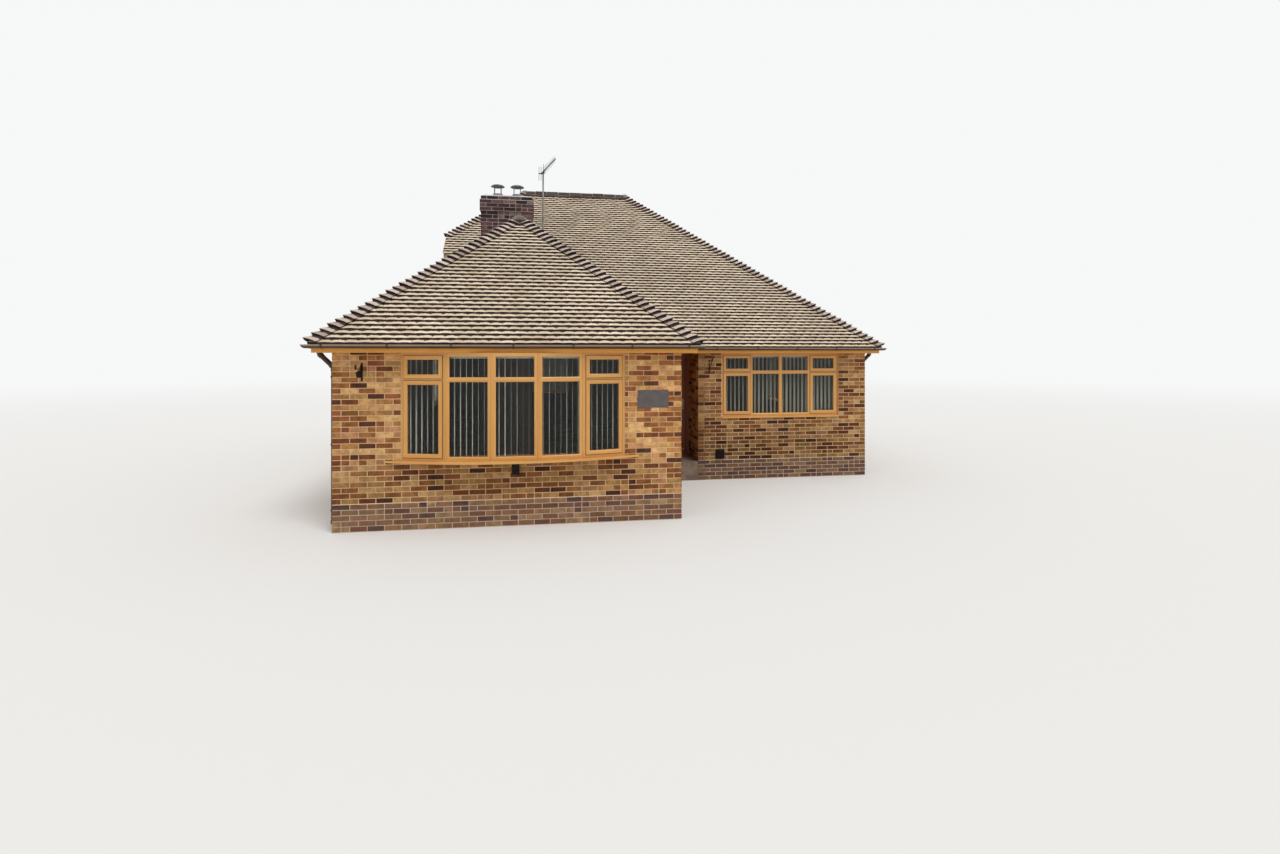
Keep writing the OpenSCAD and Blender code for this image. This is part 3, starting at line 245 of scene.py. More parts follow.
def new_group(name, inputs, outputs):
    """An empty shader node group. inputs are names with their defaults, a number or a place, and outputs are
    names. Returns the group and its input and output nodes."""
    group = bpy.data.node_groups.new(name, "ShaderNodeTree")
    for label, default in inputs.items():
        kind = "NodeSocketVector" if isinstance(default, tuple) else "NodeSocketFloat"
        group.interface.new_socket(label, in_out="INPUT", socket_type=kind).default_value = default
    for label in outputs:
        group.interface.new_socket(label, in_out="OUTPUT", socket_type="NodeSocketFloat")
    return group, group.nodes.new("NodeGroupInput"), group.nodes.new("NodeGroupOutput")


def place_group(tree, group, inputs):
    """Places a group in a tree, with its own values, and returns its outputs."""
    return wire(tree, "ShaderNodeGroup", inputs, node_tree=group).outputs


# Weathering: large soft patches, fine specks and a gritty height, all from the place on the house.
weathering, given, result = new_group(
    "weathering", {"Patch Scale": 1.5, "Speck Scale": 60.0}, ("Patches", "Specks", "Height"))
big = noise(weathering, given.outputs["Patch Scale"], 4.0)
fine = noise(weathering, given.outputs["Speck Scale"], 5.0, 0.65)
weathering.links.new(spread(weathering, big, 0.38, 0.62), result.inputs["Patches"])
weathering.links.new(spread(weathering, fine, 0.35, 0.65), result.inputs["Specks"])
weathering.links.new(fine, result.inputs["Height"])


def start_finish(name, patch_scale, speck_scale):
    """A new material, its tree, and the outputs of the weathering group at its own two scales."""
    material = blank_material(name)
    scales = {"Patch Scale": patch_scale, "Speck Scale": speck_scale}
    return material, material.node_tree, place_group(material.node_tree, weathering, scales)


def shader(tree, colour, roughness, height, depth, strength, **constants):
    """The Principled BSDF of a finish, with a bump of its height. constants are its own sockets."""
    bump = wire(tree, "ShaderNodeBump", {"Height": height, "Distance": depth, "Strength": strength})
    sockets = {"Base Color": colour, "Roughness": roughness, "Normal": bump.outputs["Normal"]}
    sockets.update({key.replace("_", " "): value for key, value in constants.items()})
    body = wire(tree, "ShaderNodeBsdfPrincipled", sockets)
    wire(tree, "ShaderNodeOutputMaterial", {"Surface": body.outputs[0]})


def brick_finish(name, stops, stain, stain_from, stain_to):
    """Fired clay: each brick's colour from its own tone, mottled, with a stain that thickens towards the
    ground."""
    material, tree, wear = start_finish(name, 9.0, 95.0)
    colour = ramp(tree, attribute(tree, "tone"), stops, "CONSTANT")
    mottle = spread(tree, wear["Patches"], 0.0, 1.0, 0.78, 1.12)
    grit = spread(tree, wear["Specks"], 0.0, 1.0, 0.86, 1.10)
    # the mesh's shade holds each brick's random shade, and on the walls the painted shade and painted light
    # of its place
    shade = calculate(tree, "MULTIPLY", calculate(tree, "MULTIPLY", mottle, grit), attribute(tree, "shade"))
    grey = wire(tree, "ShaderNodeCombineColor", {0: shade, 1: shade, 2: shade}).outputs[0]
    colour = mix_colour(tree, 1.0, colour, grey, "MULTIPLY")
    low = spread(tree, object_height(tree), stain_from, stain_to, 0.0, 0.55)
    blotches = spread(tree, noise(tree, 6.0, 5.0), 0.25, 0.6, 0.35, 1.0)
    shader(tree, tinge(tree, low, blotches, colour, stain), 0.92, wear["Height"], 0.0012, 0.7,
           Specular_IOR_Level=0.25)
    return material


wall_brick = brick_finish(
    "wall_brick",
    [(0.00, (212, 168, 112)), (0.12, (198, 150, 96)), (0.24, (184, 142, 84)), (0.34, (186, 134, 94)),
     (0.44, (172, 122, 72)), (0.56, (156, 102, 56)), (0.68, (138, 87, 47)), (0.78, (116, 68, 38)),
     (0.87, (86, 52, 36)), (0.95, (146, 88, 54))],
    (104, 84, 74), 0.40, 0.33)


def bond(length, top, start, snapped):
    """Bricks of a wall face in stretcher bond, as rows of (left, right, foot, head, tone, shade) in metres.
    A face holds a whole number of half bricks. Course n starts with a half brick where n + start is odd,
    and some stretchers are two snapped headers."""
    halves = round(length / BRICK_PITCH * 2)
    half = length / halves
    rows = []
    for course in range(math.ceil(top / COURSE)):
        joints = np.arange(2 - (course + start) % 2, halves, 2, dtype=float)
        edges = np.unique(np.concatenate([[0.0], joints, [halves]]))
        share = SNAPPED_COURSE if dice.random() < SNAPPED_COURSES else snapped
        wide = (np.diff(edges) > 1.5) & (dice.random(len(edges) - 1) < share)
        edges = np.sort(np.concatenate([edges, edges[:-1][wide] + 1.0])) * half
        count = len(edges) - 1
        left = edges[:-1] + JOINT / 2
        right = edges[1:] - JOINT / 2
        left[0] = -PROUD
        right[-1] = length
        foot = np.full(count, course * COURSE + JOINT)
        head = np.full(count, min((course + 1) * COURSE, top))
        tone = dice.random(count)
        rows.append(np.stack([left, right, foot, head, tone, dice.uniform(*BRICK_SHADES, count)], axis=1))
    return np.concatenate(rows)


def cut_round(bricks, hole):
    """Bricks trimmed round an opening (left, right, foot, head): what lies beside it keeps its height, and
    what lies under or over it is cut to its edge."""
    a, b, low, high = hole
    left, right, foot, head = bricks[:, :4].T
    crossing = (right > a) & (left < b) & (head > low) & (foot < high)
    whole, hit = bricks[~crossing], bricks[crossing]
    parts = [hit.copy() for _ in range(4)]
    parts[0][:, 1] = np.minimum(hit[:, 1], a)
    parts[1][:, 0] = np.maximum(hit[:, 0], b)
    for part, column, limit, pick in ((parts[2], 3, low, np.minimum), (parts[3], 2, high, np.maximum)):
        part[:, 0] = np.maximum(hit[:, 0], a)
        part[:, 1] = np.minimum(hit[:, 1], b)
        part[:, column] = pick(hit[:, column], limit)
    cut = np.concatenate(parts)
    large = (cut[:, 1] - cut[:, 0] > SMALLEST_CUT) & (cut[:, 3] - cut[:, 2] > SMALLEST_CUT)
    return np.concatenate([whole, cut[large]])


def brick_solids(bricks, corner, along, out):
    """Points and quads of closed bricks on a wall face. corner is the face's left foot, along and out are its
    level directions. Each brick is three rectangles: its back, its shoulder and its slightly rough front."""
    count = len(bricks)
    left, right, foot, head = bricks[:, :4].T
    spread_x = np.stack([left, right, right, left], axis=1)
    spread_z = np.stack([foot, foot, head, head], axis=1)
    inset_x = BRICK_EDGE * np.array([1, -1, -1, 1])
    inset_z = BRICK_EDGE * np.array([1, 1, -1, -1])
    stand = PROUD + dice.uniform(-UNEVEN, UNEVEN, (count, 1))
    front = stand + dice.uniform(-ROUGH_FACE, ROUGH_FACE, (count, 4))
    shoulder = np.broadcast_to(stand - BRICK_EDGE, (count, 4))
    xs = np.stack([spread_x, spread_x, spread_x + inset_x], axis=1)
    zs = np.stack([spread_z, spread_z, spread_z + inset_z], axis=1)
    outs = np.stack([np.full((count, 4), -BRICK_BACK), shoulder, front], axis=1)
    along, out = np.array(along, dtype=float), np.array(out, dtype=float)
    flat = np.array(corner)[None, :] + xs.reshape(-1, 1) * along + outs.reshape(-1, 1) * out
    points = np.column_stack([flat, zs.reshape(-1)])
    ring = [[a + i, a + (i + 1) % 4, a + 4 + (i + 1) % 4, a + 4 + i] for a in (0, 4) for i in range(4)]
    quads = np.array([[3, 2, 1, 0], *ring, [8, 9, 10, 11]])
    return points, (quads[None] + BRICK_POINTS * np.arange(count)[:, None, None]).reshape(-1, 4)


def make_piece(name, points, faces, finish, slot, body="house", smooth=None, face_values=(), point_values=()):
    """A mesh object at the origin that rides on a body. smooth is the angle, in degrees, past which an edge
    stays sharp; face_values and point_values are named arrays that its finish reads."""
    mesh = bpy.data.meshes.new(name)
    faces = faces.tolist() if isinstance(faces, np.ndarray) else faces
    mesh.from_pydata(np.asarray(points).tolist(), [], faces)
    for domain, values in (("FACE", face_values), ("POINT", point_values)):
        for label, numbers in dict(values).items():
            layer = mesh.attributes.new(label, "FLOAT", domain)
            layer.data.foreach_set("value", np.asarray(numbers, dtype=np.float32))
    if smooth is not None:
        mesh.shade_smooth()
        mesh.set_sharp_from_angle(angle=math.radians(smooth))
    mesh.materials.append(finish)
    piece = bpy.data.objects.new(name, mesh)
    bpy.context.collection.objects.link(piece)
    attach(piece, body)
    return piece


def dress(finish, *nodes):
    """Gives CAD nodes a finish."""
    for node in nodes:
        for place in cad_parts[node].material_slots:
            place.material = finish


def opening(left, right, foot):
    """A window's hole in a wall face, with its line of sealant. It runs on over the wall's head."""
    return (left - PUTTY_GAP, right + PUTTY_GAP, foot - PUTTY_GAP, HEAD_Z + COURSE)


flat_foot = main_window[0][2] - SILL_T
bow_hole = opening(bow_window[0][0] - x_left, bow_window[1][0] - x_left, bow_window[0][2] - SILL_T)
main_hole = opening(main_window[0][0] - x_porch, main_window[1][0] - x_porch, flat_foot)
side_hole = opening(y_ridge - MAIN_LIGHT - y_main, y_ridge + MAIN_LIGHT - y_main, flat_foot)
left_hole = opening(y_rear - y_ridge - MAIN_LIGHT, y_rear - y_ridge + MAIN_LIGHT, flat_foot)
house_w = x_right - x_left
rear_holes = [opening(middle - 2 * MAIN_LIGHT, middle + 2 * MAIN_LIGHT, flat_foot)
              for middle in (REAR_WINDOW_IN, house_w - REAR_WINDOW_IN)]
# each face: name, left corner, direction, outward direction, length, openings, how bright its bricks are
wall_faces = [
    ("wing_front_bricks", (x_left, y_front), (1, 0), (0, -1), x_wing - x_left, [bow_hole], 1.0),
    ("wing_right_bricks", (x_wing, y_front), (0, 1), (1, 0), y_door - y_front, [], 0.86),
    ("porch_bricks", (x_porch, y_door), (0, -1), (-1, 0), y_door - y_main, [], 0.95),
    # the main front wall's 0.62 is painted shade
    ("main_front_bricks", (x_porch, y_main), (1, 0), (0, -1), x_right - x_porch, [main_hole], 0.62),
    ("right_bricks", (x_right, y_main), (0, 1), (1, 0), y_rear - y_main, [side_hole], 0.95),
    ("rear_bricks", (x_right, y_rear), (-1, 0), (0, 1), house_w, rear_holes, 0.95),
    ("left_bricks", (x_left, y_rear), (0, -1), (-1, 0), y_rear - y_front, [left_hole], 0.95),
]
start = 0
for name, corner, along, out, length, holes, bright in wall_faces:
    bricks = bond(length, HEAD_Z, start, SNAPPED)
    # darker in the courses that start below about a metre, and brighter towards each face's right end, which
    # is painted light
    bricks[:, 5] *= bright * np.interp(bricks[:, 2], LOW_COURSES_Z, [LOW_COURSES_DARK, 1.0])
    bricks[:, 5] *= np.interp(bricks[:, 0] / length, FACE_SHARES, FACE_PAINTED_LIGHT)
    for hole in holes:
        bricks = cut_round(bricks, hole)
    tones, shades = np.repeat(bricks[:, 4:].T, BRICK_FACES, axis=1)
    make_piece(name, *brick_solids(bricks, corner, along, out), wall_brick, "brick",
               face_values={"tone": tones, "shade": shades})
    start = (round(length / BRICK_PITCH * 2) + start + 1) % 2

# The mortar is the CAD walls themselves, of sand and cement. They are sandy and pale outside, with a lighter
# line at the damp course, darkened in the porch with painted shade, and plastered inside the rooms in a dull
# beige that is painted shade of the dim rooms.

WALL_T = 0.28
OVER_ROOF = 9.0
PORCH_REACH = 1.0
BASE_TOP = 0.375
BASE_FADE = 0.010
LINE_TOP = 0.389
LINE_FADE = 0.003


def vector(tree, operation, first, second=(0.0, 0.0, 0.0)):
    """One Vector Math node."""
    return wire(tree, "ShaderNodeVectorMath", {0: first, 1: second}, operation=operation).outputs[0]


inside_box, given, result = new_group(
    "inside_box", {"Middle": (0.0, 0.0, 0.0), "Half": (1.0, 1.0, 1.0)}, ("Inside",))
spot = wire(inside_box, "ShaderNodeTexCoord").outputs["Object"]
off = vector(inside_box, "SUBTRACT", spot, given.outputs["Middle"])
share = vector(inside_box, "ABSOLUTE", vector(inside_box, "DIVIDE", off, given.outputs["Half"]))
parts = wire(inside_box, "ShaderNodeSeparateXYZ", {0: share}).outputs
largest = calculate(inside_box, "MAXIMUM", calculate(inside_box, "MAXIMUM", parts[0], parts[1]), parts[2])
inside_box.links.new(calculate(inside_box, "LESS_THAN", largest, 1.0), result.inputs["Inside"])


def in_plan(tree, low, high):
    """1 over the rectangle between two corners of the plan, from the ground to over the roof."""
    low, high = np.array([*low, 0.0]), np.array([*high, OVER_ROOF])
    return place_group(tree, inside_box, {"Middle": (low + high) / 2, "Half": (high - low) / 2})["Inside"]


mortar, tree, wear = start_finish("mortar", 2.2, 130.0)
sandy = mix_colour(tree, wear["Patches"], (222, 184, 142), (206, 168, 126))
sandy = tinge(tree, wear["Specks"], 0.25, sandy, (166, 134, 104))
height = object_height(tree)
sandy = mix_colour(tree, spread(tree, height, BASE_TOP, BASE_TOP - BASE_FADE), sandy, (190, 166, 150))
damp_line = calculate(tree, "MULTIPLY", spread(tree, height, BASE_TOP - LINE_FADE, BASE_TOP),
                      spread(tree, height, LINE_TOP, LINE_TOP - LINE_FADE))
sandy = tinge(tree, damp_line, 0.7, sandy, (232, 214, 194))
half_wall = WALL_T / 2
room = in_plan(tree, (x_left + half_wall, y_main + half_wall), (x_right - half_wall, y_rear - half_wall))
wing = in_plan(tree, (x_left + half_wall, y_front + half_wall), (x_wing - half_wall, y_ridge))
porch = in_plan(tree, (x_wing - half_wall, y_main - PORCH_REACH), (x_porch + half_wall, y_door + half_wall))
indoors = calculate(tree, "SUBTRACT", calculate(tree, "MAXIMUM", room, wing), porch, clamp=True)
# painted shade in the porch's recess
sandy = tinge(tree, porch, 0.5, sandy, (96, 70, 50))
# painted shade: the rooms' plaster is a dull beige, darker than cream plaster
sandy = mix_colour(tree, indoors, sandy, (150, 138, 120))
shader(tree, sandy, 0.95, wear["Height"], 0.0015, 0.6, Specular_IOR_Level=0.2)
dress(mortar, "wing_front_wall", "wing_right_wall", "left_wall", "porch_return_wall", "door_lintel",
      "main_front_wall", "right_wall", "rear_wall")

# The roof is laid with cambered plain tiles, 165 mm wide at a gauge of about 100 mm, broken-bonded, with a
# dark tail of painted shade and a dark band under each course, painted shadow mixed with grime. They are cut
# at hips, valleys, verges and the stack.

PITCH = math.radians(40.6)
RISE = math.tan(PITCH)
TILE_OUT = 0.235
GAUGE = 0.0995
TILE_W = 0.165
TILE_PITCH = 0.168
TILE_T = 0.012
TILE_BODY = 0.135
TILE_LIFT = 0.002
TILE_LIFTS = (-0.0015, 0.002)
TILE_SLIP = 0.0012
SMALLEST_TILE = 0.02
TOLERANCE = 1e-6
CAMBER = 0.006
ACROSS = 5
UPWARD = (-0.5, 0.0, 1.0, 1.2)
VALLEY_HALF = 0.035
VERGE_OVER = 0.030
EAVE_OVER = 0.060
CHEEK_EAVE = 0.1
CHEEK_IN = 0.8
STACK_EDGE = 0.005

ridge_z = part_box("main_front_slope")[1][2]
main_run = (y_rear - y_main) / 2 + TILE_OUT
wing_run = (x_wing - x_left) / 2 + TILE_OUT
eave_z = ridge_z - main_run * RISE
x_wing_ridge = (x_left + x_wing) / 2
x_ridge_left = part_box("dormer_half_hip")[1][0]
x_ridge_right = x_right + TILE_OUT - main_run
x_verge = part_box("dormer_half_hip")[0][0]
y_dormer_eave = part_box("dormer_cheeks")[0][1] - CHEEK_EAVE
y_dormer_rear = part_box("dormer_cheeks")[1][1] + CHEEK_EAVE
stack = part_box("chimney_flaunching")
y_wing_end = y_main - TILE_OUT + wing_run
verge_run = x_ridge_left - x_verge


def slope_frame(side):
    """Origin, level direction along the eaves and level direction inwards of the slope on one side. Distances
    along the eaves are x, y, -x or -y, so that they read as places on the house."""
    return {
        "front": ((0.0, y_main - TILE_OUT), (1, 0), (0, 1)),
        "wing": ((0.0, y_front - TILE_OUT), (1, 0), (0, 1)),
        "wing_right": ((x_wing + TILE_OUT, 0.0), (0, 1), (-1, 0)),
        "right": ((x_right + TILE_OUT, 0.0), (0, 1), (-1, 0)),
        "rear": ((0.0, y_rear + TILE_OUT), (-1, 0), (0, -1)),
        "left": ((x_left - TILE_OUT, 0.0), (0, -1), (1, 0)),
        "half_hip": ((x_verge - VERGE_OVER, 0.0), (0, -1), (1, 0)),
    }[side]


def on_slope(side, along, run, lift, base=0.0):
    """Points of a slope: origin + along the eaves + run inwards, up by run times the pitch's tangent, and
    lift square to the slope."""
    origin, level, inwards = (np.array(part, dtype=float) for part in slope_frame(side))
    flat = origin + along[..., None] * level + (run - lift * math.sin(PITCH))[..., None] * inwards
    up = eave_z + base + run * RISE + lift * math.cos(PITCH)
    return np.concatenate([flat, up[..., None]], axis=-1)


def shell_rows(count, across):
    """Quads of count closed shells, and how many each has. A shell is four rows of points, across to a row:
    lower tail, upper tail, upper head, lower head."""
    cell = []
    for row in range(4):
        after = (row + 1) % 4
        cell += [[row * across + i, row * across + i + 1, after * across + i + 1, after * across + i]
                 for i in range(across - 1)]
    cell += [[0, across, 2 * across, 3 * across],
             [4 * across - 1, 3 * across - 1, 2 * across - 1, across - 1]]
    return (np.array(cell)[None] + 4 * across * np.arange(count)[:, None, None]).reshape(-1, 4), len(cell)


def lay_tiles(side, fields, base=0.0):
    """Points, quads and values of the tiles of a slope. A field is (first run, last run, left edge, right
    edge), and an edge is a list of (run, place along the eaves). A tile's upper face is an arch across its
    width, its tail stands one thickness over the tile below, and it falls to the slope towards its head."""
    tails, heads, tones = [], [], []
    step = GAUGE * math.cos(PITCH)
    reach = TILE_BODY * math.cos(PITCH)
    for first, last, left_edge, right_edge, *limit in fields:
        for course in range(math.ceil(first / step - TOLERANCE), math.ceil(last / step - TOLERANCE)):
            run = course * step
            head = min(run + reach, limit[0] if limit else last)
            low = [np.interp(r, *zip(*left_edge)) for r in (run, head)]
            high = [np.interp(r, *zip(*right_edge)) for r in (run, head)]
            shift = course % 2 * TILE_PITCH / 2
            leftmost = math.floor((min(low) - shift) / TILE_PITCH)
            begin = np.arange(leftmost, math.ceil(max(high) / TILE_PITCH) + 1) * TILE_PITCH + shift
            begin = begin + dice.uniform(-TILE_SLIP, TILE_SLIP, len(begin))
            edges = []
            for r, left, right in zip((run, head), low, high):
                a = np.clip(begin, left, right)
                b = np.clip(begin + TILE_W, left, right)
                edges.append(np.stack([a, b, np.full(len(a), r), begin], axis=1))
            keep = np.maximum(*(end[:, 1] - end[:, 0] for end in edges)) > SMALLEST_TILE
            tails.append(edges[0][keep])
            heads.append(edges[1][keep])
            tones.append(dice.random(keep.sum()))
    tails, heads, tones = np.concatenate(tails), np.concatenate(heads), np.concatenate(tones)
    count = len(tails)
    part = np.linspace(0.0, 1.0, ACROSS)
    lift_tail = TILE_LIFT + TILE_T + dice.uniform(*TILE_LIFTS, (count, 1))
    lift_head = lift_tail - TILE_T * TILE_BODY / GAUGE
    rows = []
    for ends, lift, deep in ((tails, lift_tail, TILE_T), (tails, lift_tail, 0.0), (heads, lift_head, 0.0),
                             (heads, lift_head, TILE_T)):
        across = ends[:, :1] + (ends[:, 1:2] - ends[:, :1]) * part
        local = (across - ends[:, 3:4]) / TILE_W * 2 - 1
        arch = CAMBER * (1 - local ** 2) - CAMBER / 2
        run = np.broadcast_to(ends[:, 2:3], across.shape)
        rows.append(on_slope(side, across, run, arch + lift - deep, base))
    quads, each = shell_rows(count, ACROSS)
    upward = np.tile(np.repeat(UPWARD, ACROSS), count)
    aside = (tails[:, :1] + (tails[:, 1:2] - tails[:, :1]) * part - tails[:, 3:4]) / TILE_W * 2 - 1
    return (np.stack(rows, axis=1).reshape(-1, 3), quads, np.repeat(tones, each), upward,
            np.repeat(aside, 4, axis=0).reshape(-1))


def tile_finish(name, stops, shadow_and_grime, tail, band_from, flank_shade=0.0):
    """Weathered clay tile: its own tone, a dark tail of painted shade, and a dark band under the course
    above, painted shadow mixed with grime, that reaches lower at the tile's two sides than on its crown, so
    the crown shows as a painted highlight. The last two arguments are where the band starts up the tile's
    length, and how thickly painted shade lies down a bonnet's two flanks."""
    material, tree, wear = start_finish(name, 0.8, 85.0)
    colour = ramp(tree, attribute(tree, "tone"), stops)
    colour = tinge(tree, wear["Patches"], 0.22, colour, (140, 126, 108))
    colour = tinge(tree, wear["Specks"], 0.18, colour, (104, 88, 70))
    up = attribute(tree, "upward")
    aside = calculate(tree, "POWER", calculate(tree, "ABSOLUTE", attribute(tree, "aside")), 2.0)
    ragged = calculate(tree, "ADD", up, spread(tree, noise(tree, 24.0), 0.3, 0.7, -0.05, 0.05))
    ragged = calculate(tree, "ADD", ragged, calculate(tree, "MULTIPLY", aside, 0.06))
    if flank_shade:
        # painted shade down a bonnet's two flanks
        colour = mix_colour(tree, spread(tree, aside, 0.05, 0.30, 0.0, flank_shade), colour, shadow_and_grime)
    # a band under the course above, painted shadow mixed with grime, lower at the tile's sides so the crown
    # stays lighter as a painted highlight
    colour = mix_colour(tree, spread(tree, ragged, band_from, band_from + 0.10), colour, shadow_and_grime)
    # the tail, painted shade
    colour = mix_colour(tree, spread(tree, up, -0.02, -0.16), colour, tail)
    shader(tree, colour, 0.9, wear["Height"], 0.0012, 0.6, Specular_IOR_Level=0.25)
    return material


# the two dark colours are the band under each course, painted shadow mixed with grime, and the tail's painted
# shade
plain_tile = tile_finish(
    "plain_tile",
    [(0.0, (222, 201, 174)), (0.45, (238, 218, 192)), (0.8, (245, 228, 206)), (1.0, (214, 191, 164))],
    (46, 35, 24), (36, 27, 19), 0.36)


def slant(foot, top, run):
    """A straight edge of a field, from a place at the eaves to a place at a run."""
    return [(0.0, foot), (run, top)]


def square(place):
    """An edge that runs straight up the slope."""
    return slant(place, place, main_run)


y_eave_wing = y_front - TILE_OUT
y_eave_main = y_main - TILE_OUT
y_eave_rear = y_rear + TILE_OUT
x_eave_left = x_left - TILE_OUT
x_eave_wing = x_wing + TILE_OUT
x_eave_right = x_right + TILE_OUT
run_dormer = y_dormer_eave - y_eave_main
run_cheek = x_left + CHEEK_IN - x_eave_left
stack_x0, stack_x1 = stack[0][0] - STACK_EDGE, stack[1][0] + STACK_EDGE
stack_y0, stack_y1 = stack[0][1] - STACK_EDGE, stack[1][1] + STACK_EDGE
run_left = stack_x0 - x_eave_left
run_right = x_eave_wing - stack_x1
cheek_front = y_dormer_eave + CHEEK_EAVE
cheek_rear = y_dormer_rear - CHEEK_EAVE
hip_run = verge_run + VERGE_OVER
x_over = x_verge - VERGE_OVER
front_hip = slant(y_eave_wing, y_eave_wing + wing_run, wing_run)
left_hip = slant(-y_eave_wing, -y_eave_wing - wing_run, wing_run)
valley = slant(y_eave_main - VALLEY_HALF, y_eave_main + wing_run - VALLEY_HALF, wing_run)
x_valley = x_eave_wing + VALLEY_HALF
right_hip = slant(x_eave_right, x_eave_right - main_run, main_run)
rear_hip = slant(-x_eave_right, -x_eave_right + main_run, main_run)
verge = [(0.0, x_over), (main_run - verge_run - VERGE_OVER, x_over), (main_run, x_ridge_left)]
roof_fields = {
    "wing_front_tiles": ("wing", [
        (0.0, wing_run, slant(x_eave_left, x_wing_ridge, wing_run),
         slant(x_eave_wing, x_wing_ridge, wing_run))]),
    "wing_right_tiles": ("wing_right", [
        (0.0, run_right, front_hip, valley, wing_run),
        (run_right, wing_run, front_hip, square(stack_y0)),
        (run_right, wing_run, square(stack_y1), valley)]),
    "left_front_tiles": ("left", [
        (0.0, run_left, square(-cheek_front), left_hip, wing_run),
        (run_left, wing_run, square(-stack_y0), left_hip),
        (run_left, wing_run, [(0.0, -cheek_front), (run_dormer, -cheek_front), (wing_run, -y_wing_end)],
         square(-stack_y1))]),
    "left_foot_tiles": ("left", [(0.0, run_cheek, square(-cheek_rear), square(-cheek_front))]),
    "left_rear_tiles": ("left", [
        (0.0, y_eave_rear - y_dormer_rear, slant(-y_eave_rear, -y_eave_rear + main_run, main_run),
         square(-cheek_rear))]),
    "main_front_tiles": ("front", [
        (0.0, wing_run, slant(x_valley, x_valley - main_run, main_run), right_hip, main_run),
        (run_dormer - EAVE_OVER, wing_run, square(x_over),
         slant(x_eave_left, x_eave_left + main_run, main_run), main_run),
        (wing_run, main_run, verge, right_hip)]),
    "rear_tiles": ("rear", [
        (0.0, run_dormer, rear_hip, slant(-x_eave_left, -x_eave_left - main_run, main_run), main_run),
        (run_dormer, main_run, rear_hip, [(run, -place) for run, place in verge])]),
    "right_tiles": ("right", [
        (0.0, main_run, slant(y_eave_main, y_ridge, main_run), slant(y_eave_rear, y_ridge, main_run))]),
    "half_hip_tiles": ("half_hip", [
        (0.0, hip_run, slant(-y_ridge - hip_run, -y_ridge, hip_run),
         slant(-y_ridge + hip_run, -y_ridge, hip_run))]),
}
for name, (side, fields) in roof_fields.items():
    lifted = ridge_z - hip_run * RISE - eave_z if side == "half_hip" else 0.0
    points, faces, tones, upward, aside = lay_tiles(side, fields, lifted)
    make_piece(name, points, faces, plain_tile, "plain_tile", smooth=35,
               face_values={"tone": tones}, point_values={"upward": upward, "aside": aside})


def worn(name, scales, first, second, roughness, depth, strength, **constants):
    """A finish of two colours in soft patches with a gritty bump. scales are those of its patches and
    specks."""
    material, tree, wear = start_finish(name, *scales)
    colour = mix_colour(tree, wear["Patches"], first, second)
    shader(tree, colour, roughness, wear["Height"], depth, strength, **constants)
    return material


felt = worn("roof_underlay", (3.0, 60.0), (72, 58, 44), (52, 42, 34), 0.95, 0.002, 0.5)
dress(felt, "wing_front_slope", "wing_right_slope", "left_front_slope", "left_foot_slope", "left_rear_slope",
      "main_front_slope", "rear_slope", "right_slope", "dormer_half_hip")

# Bonnet tiles close the hips, one to a course, each lapped over the one below and bedded in mortar. They are
# thicker than the plain tiles, with a bleached back, painted shade down their two flanks, and a dark open
# tail that is painted shade.

UP = (0.0, 0.0, 1.0)
BONNET_STEP = GAUGE * math.sqrt(2.0 + RISE ** 2) * math.cos(PITCH)
BONNET_LONG = 1.45
BONNET_HALF = 0.108
BONNET_NARROW = 0.78
BONNET_ROUND = 0.034
BONNET_T = 0.042
BONNET_SWEEP = 0.85
BONNET_TAIL = 0.092
BONNET_HEAD = 0.024
BONNET_SIDE = 0.36
BONNET_OVER = 0.012
BONNET_UNEVEN = 0.005
BONNET_SHIFT = 0.6
BONNET_PAST = 0.01
BONNET_ACROSS = 9
HIP_FALL = RISE * math.sqrt(0.5) * math.sqrt(2.0 / (2.0 + RISE ** 2))


def lay_bonnets(foot, top):
    """Bonnets up the hip between two points. Across the hip a bonnet falls away as a rounded V. Its tail is
    swept back up the hip by a share of that V's fall, and stands proud of the next one down."""
    foot, top = np.array(foot, dtype=float), np.array(top, dtype=float)
    length = np.linalg.norm(top - foot)
    hip = (top - foot) / length
    side = np.cross(hip, UP)
    side /= np.linalg.norm(side)
    square_up = np.cross(side, hip)
    count = max(1, round(length / BONNET_STEP))
    start = np.arange(count) * length / count - BONNET_OVER
    across = np.linspace(-1.0, 1.0, BONNET_ACROSS)
    wobble = dice.uniform(-BONNET_UNEVEN, BONNET_UNEVEN, (count, 1))
    rows = []
    for share, half, lift in ((0, 1.0, BONNET_TAIL - BONNET_T), (0, 1.0, BONNET_TAIL),
                              (BONNET_LONG, BONNET_NARROW, BONNET_HEAD), (BONNET_LONG, BONNET_NARROW, 0.0)):
        t = across * BONNET_HALF * half + wobble * BONNET_SHIFT
        fall = np.sqrt(t ** 2 + BONNET_ROUND ** 2) - BONNET_ROUND
        s = (start + share * length / count)[:, None] + fall * BONNET_SWEEP
        s = np.minimum(s, length + BONNET_PAST)
        up = lift * (1.0 - (1.0 - BONNET_SIDE) * across ** 2) + wobble - HIP_FALL * fall
        rows.append(foot + s[..., None] * hip + t[..., None] * side + up[..., None] * square_up)
    quads, each = shell_rows(count, BONNET_ACROSS)
    upward = np.tile(np.repeat(UPWARD, BONNET_ACROSS), count)
    return np.stack(rows, axis=1).reshape(-1, 3), quads, np.repeat(dice.random(count), each), upward


def joined(parts):
    """Joins parts into one. A part is its points, its quads, and any values of its faces or points."""
    points, quads, *values = zip(*parts)
    starts = np.cumsum([0, *map(len, points)])
    quads = [faces + first for faces, first in zip(quads, starts)]
    return [np.concatenate(arrays) for arrays in (points, quads, *values)]


def up_at(run):
    """Height of a slope at a run inwards from its tile edge."""
    return eave_z + run * RISE
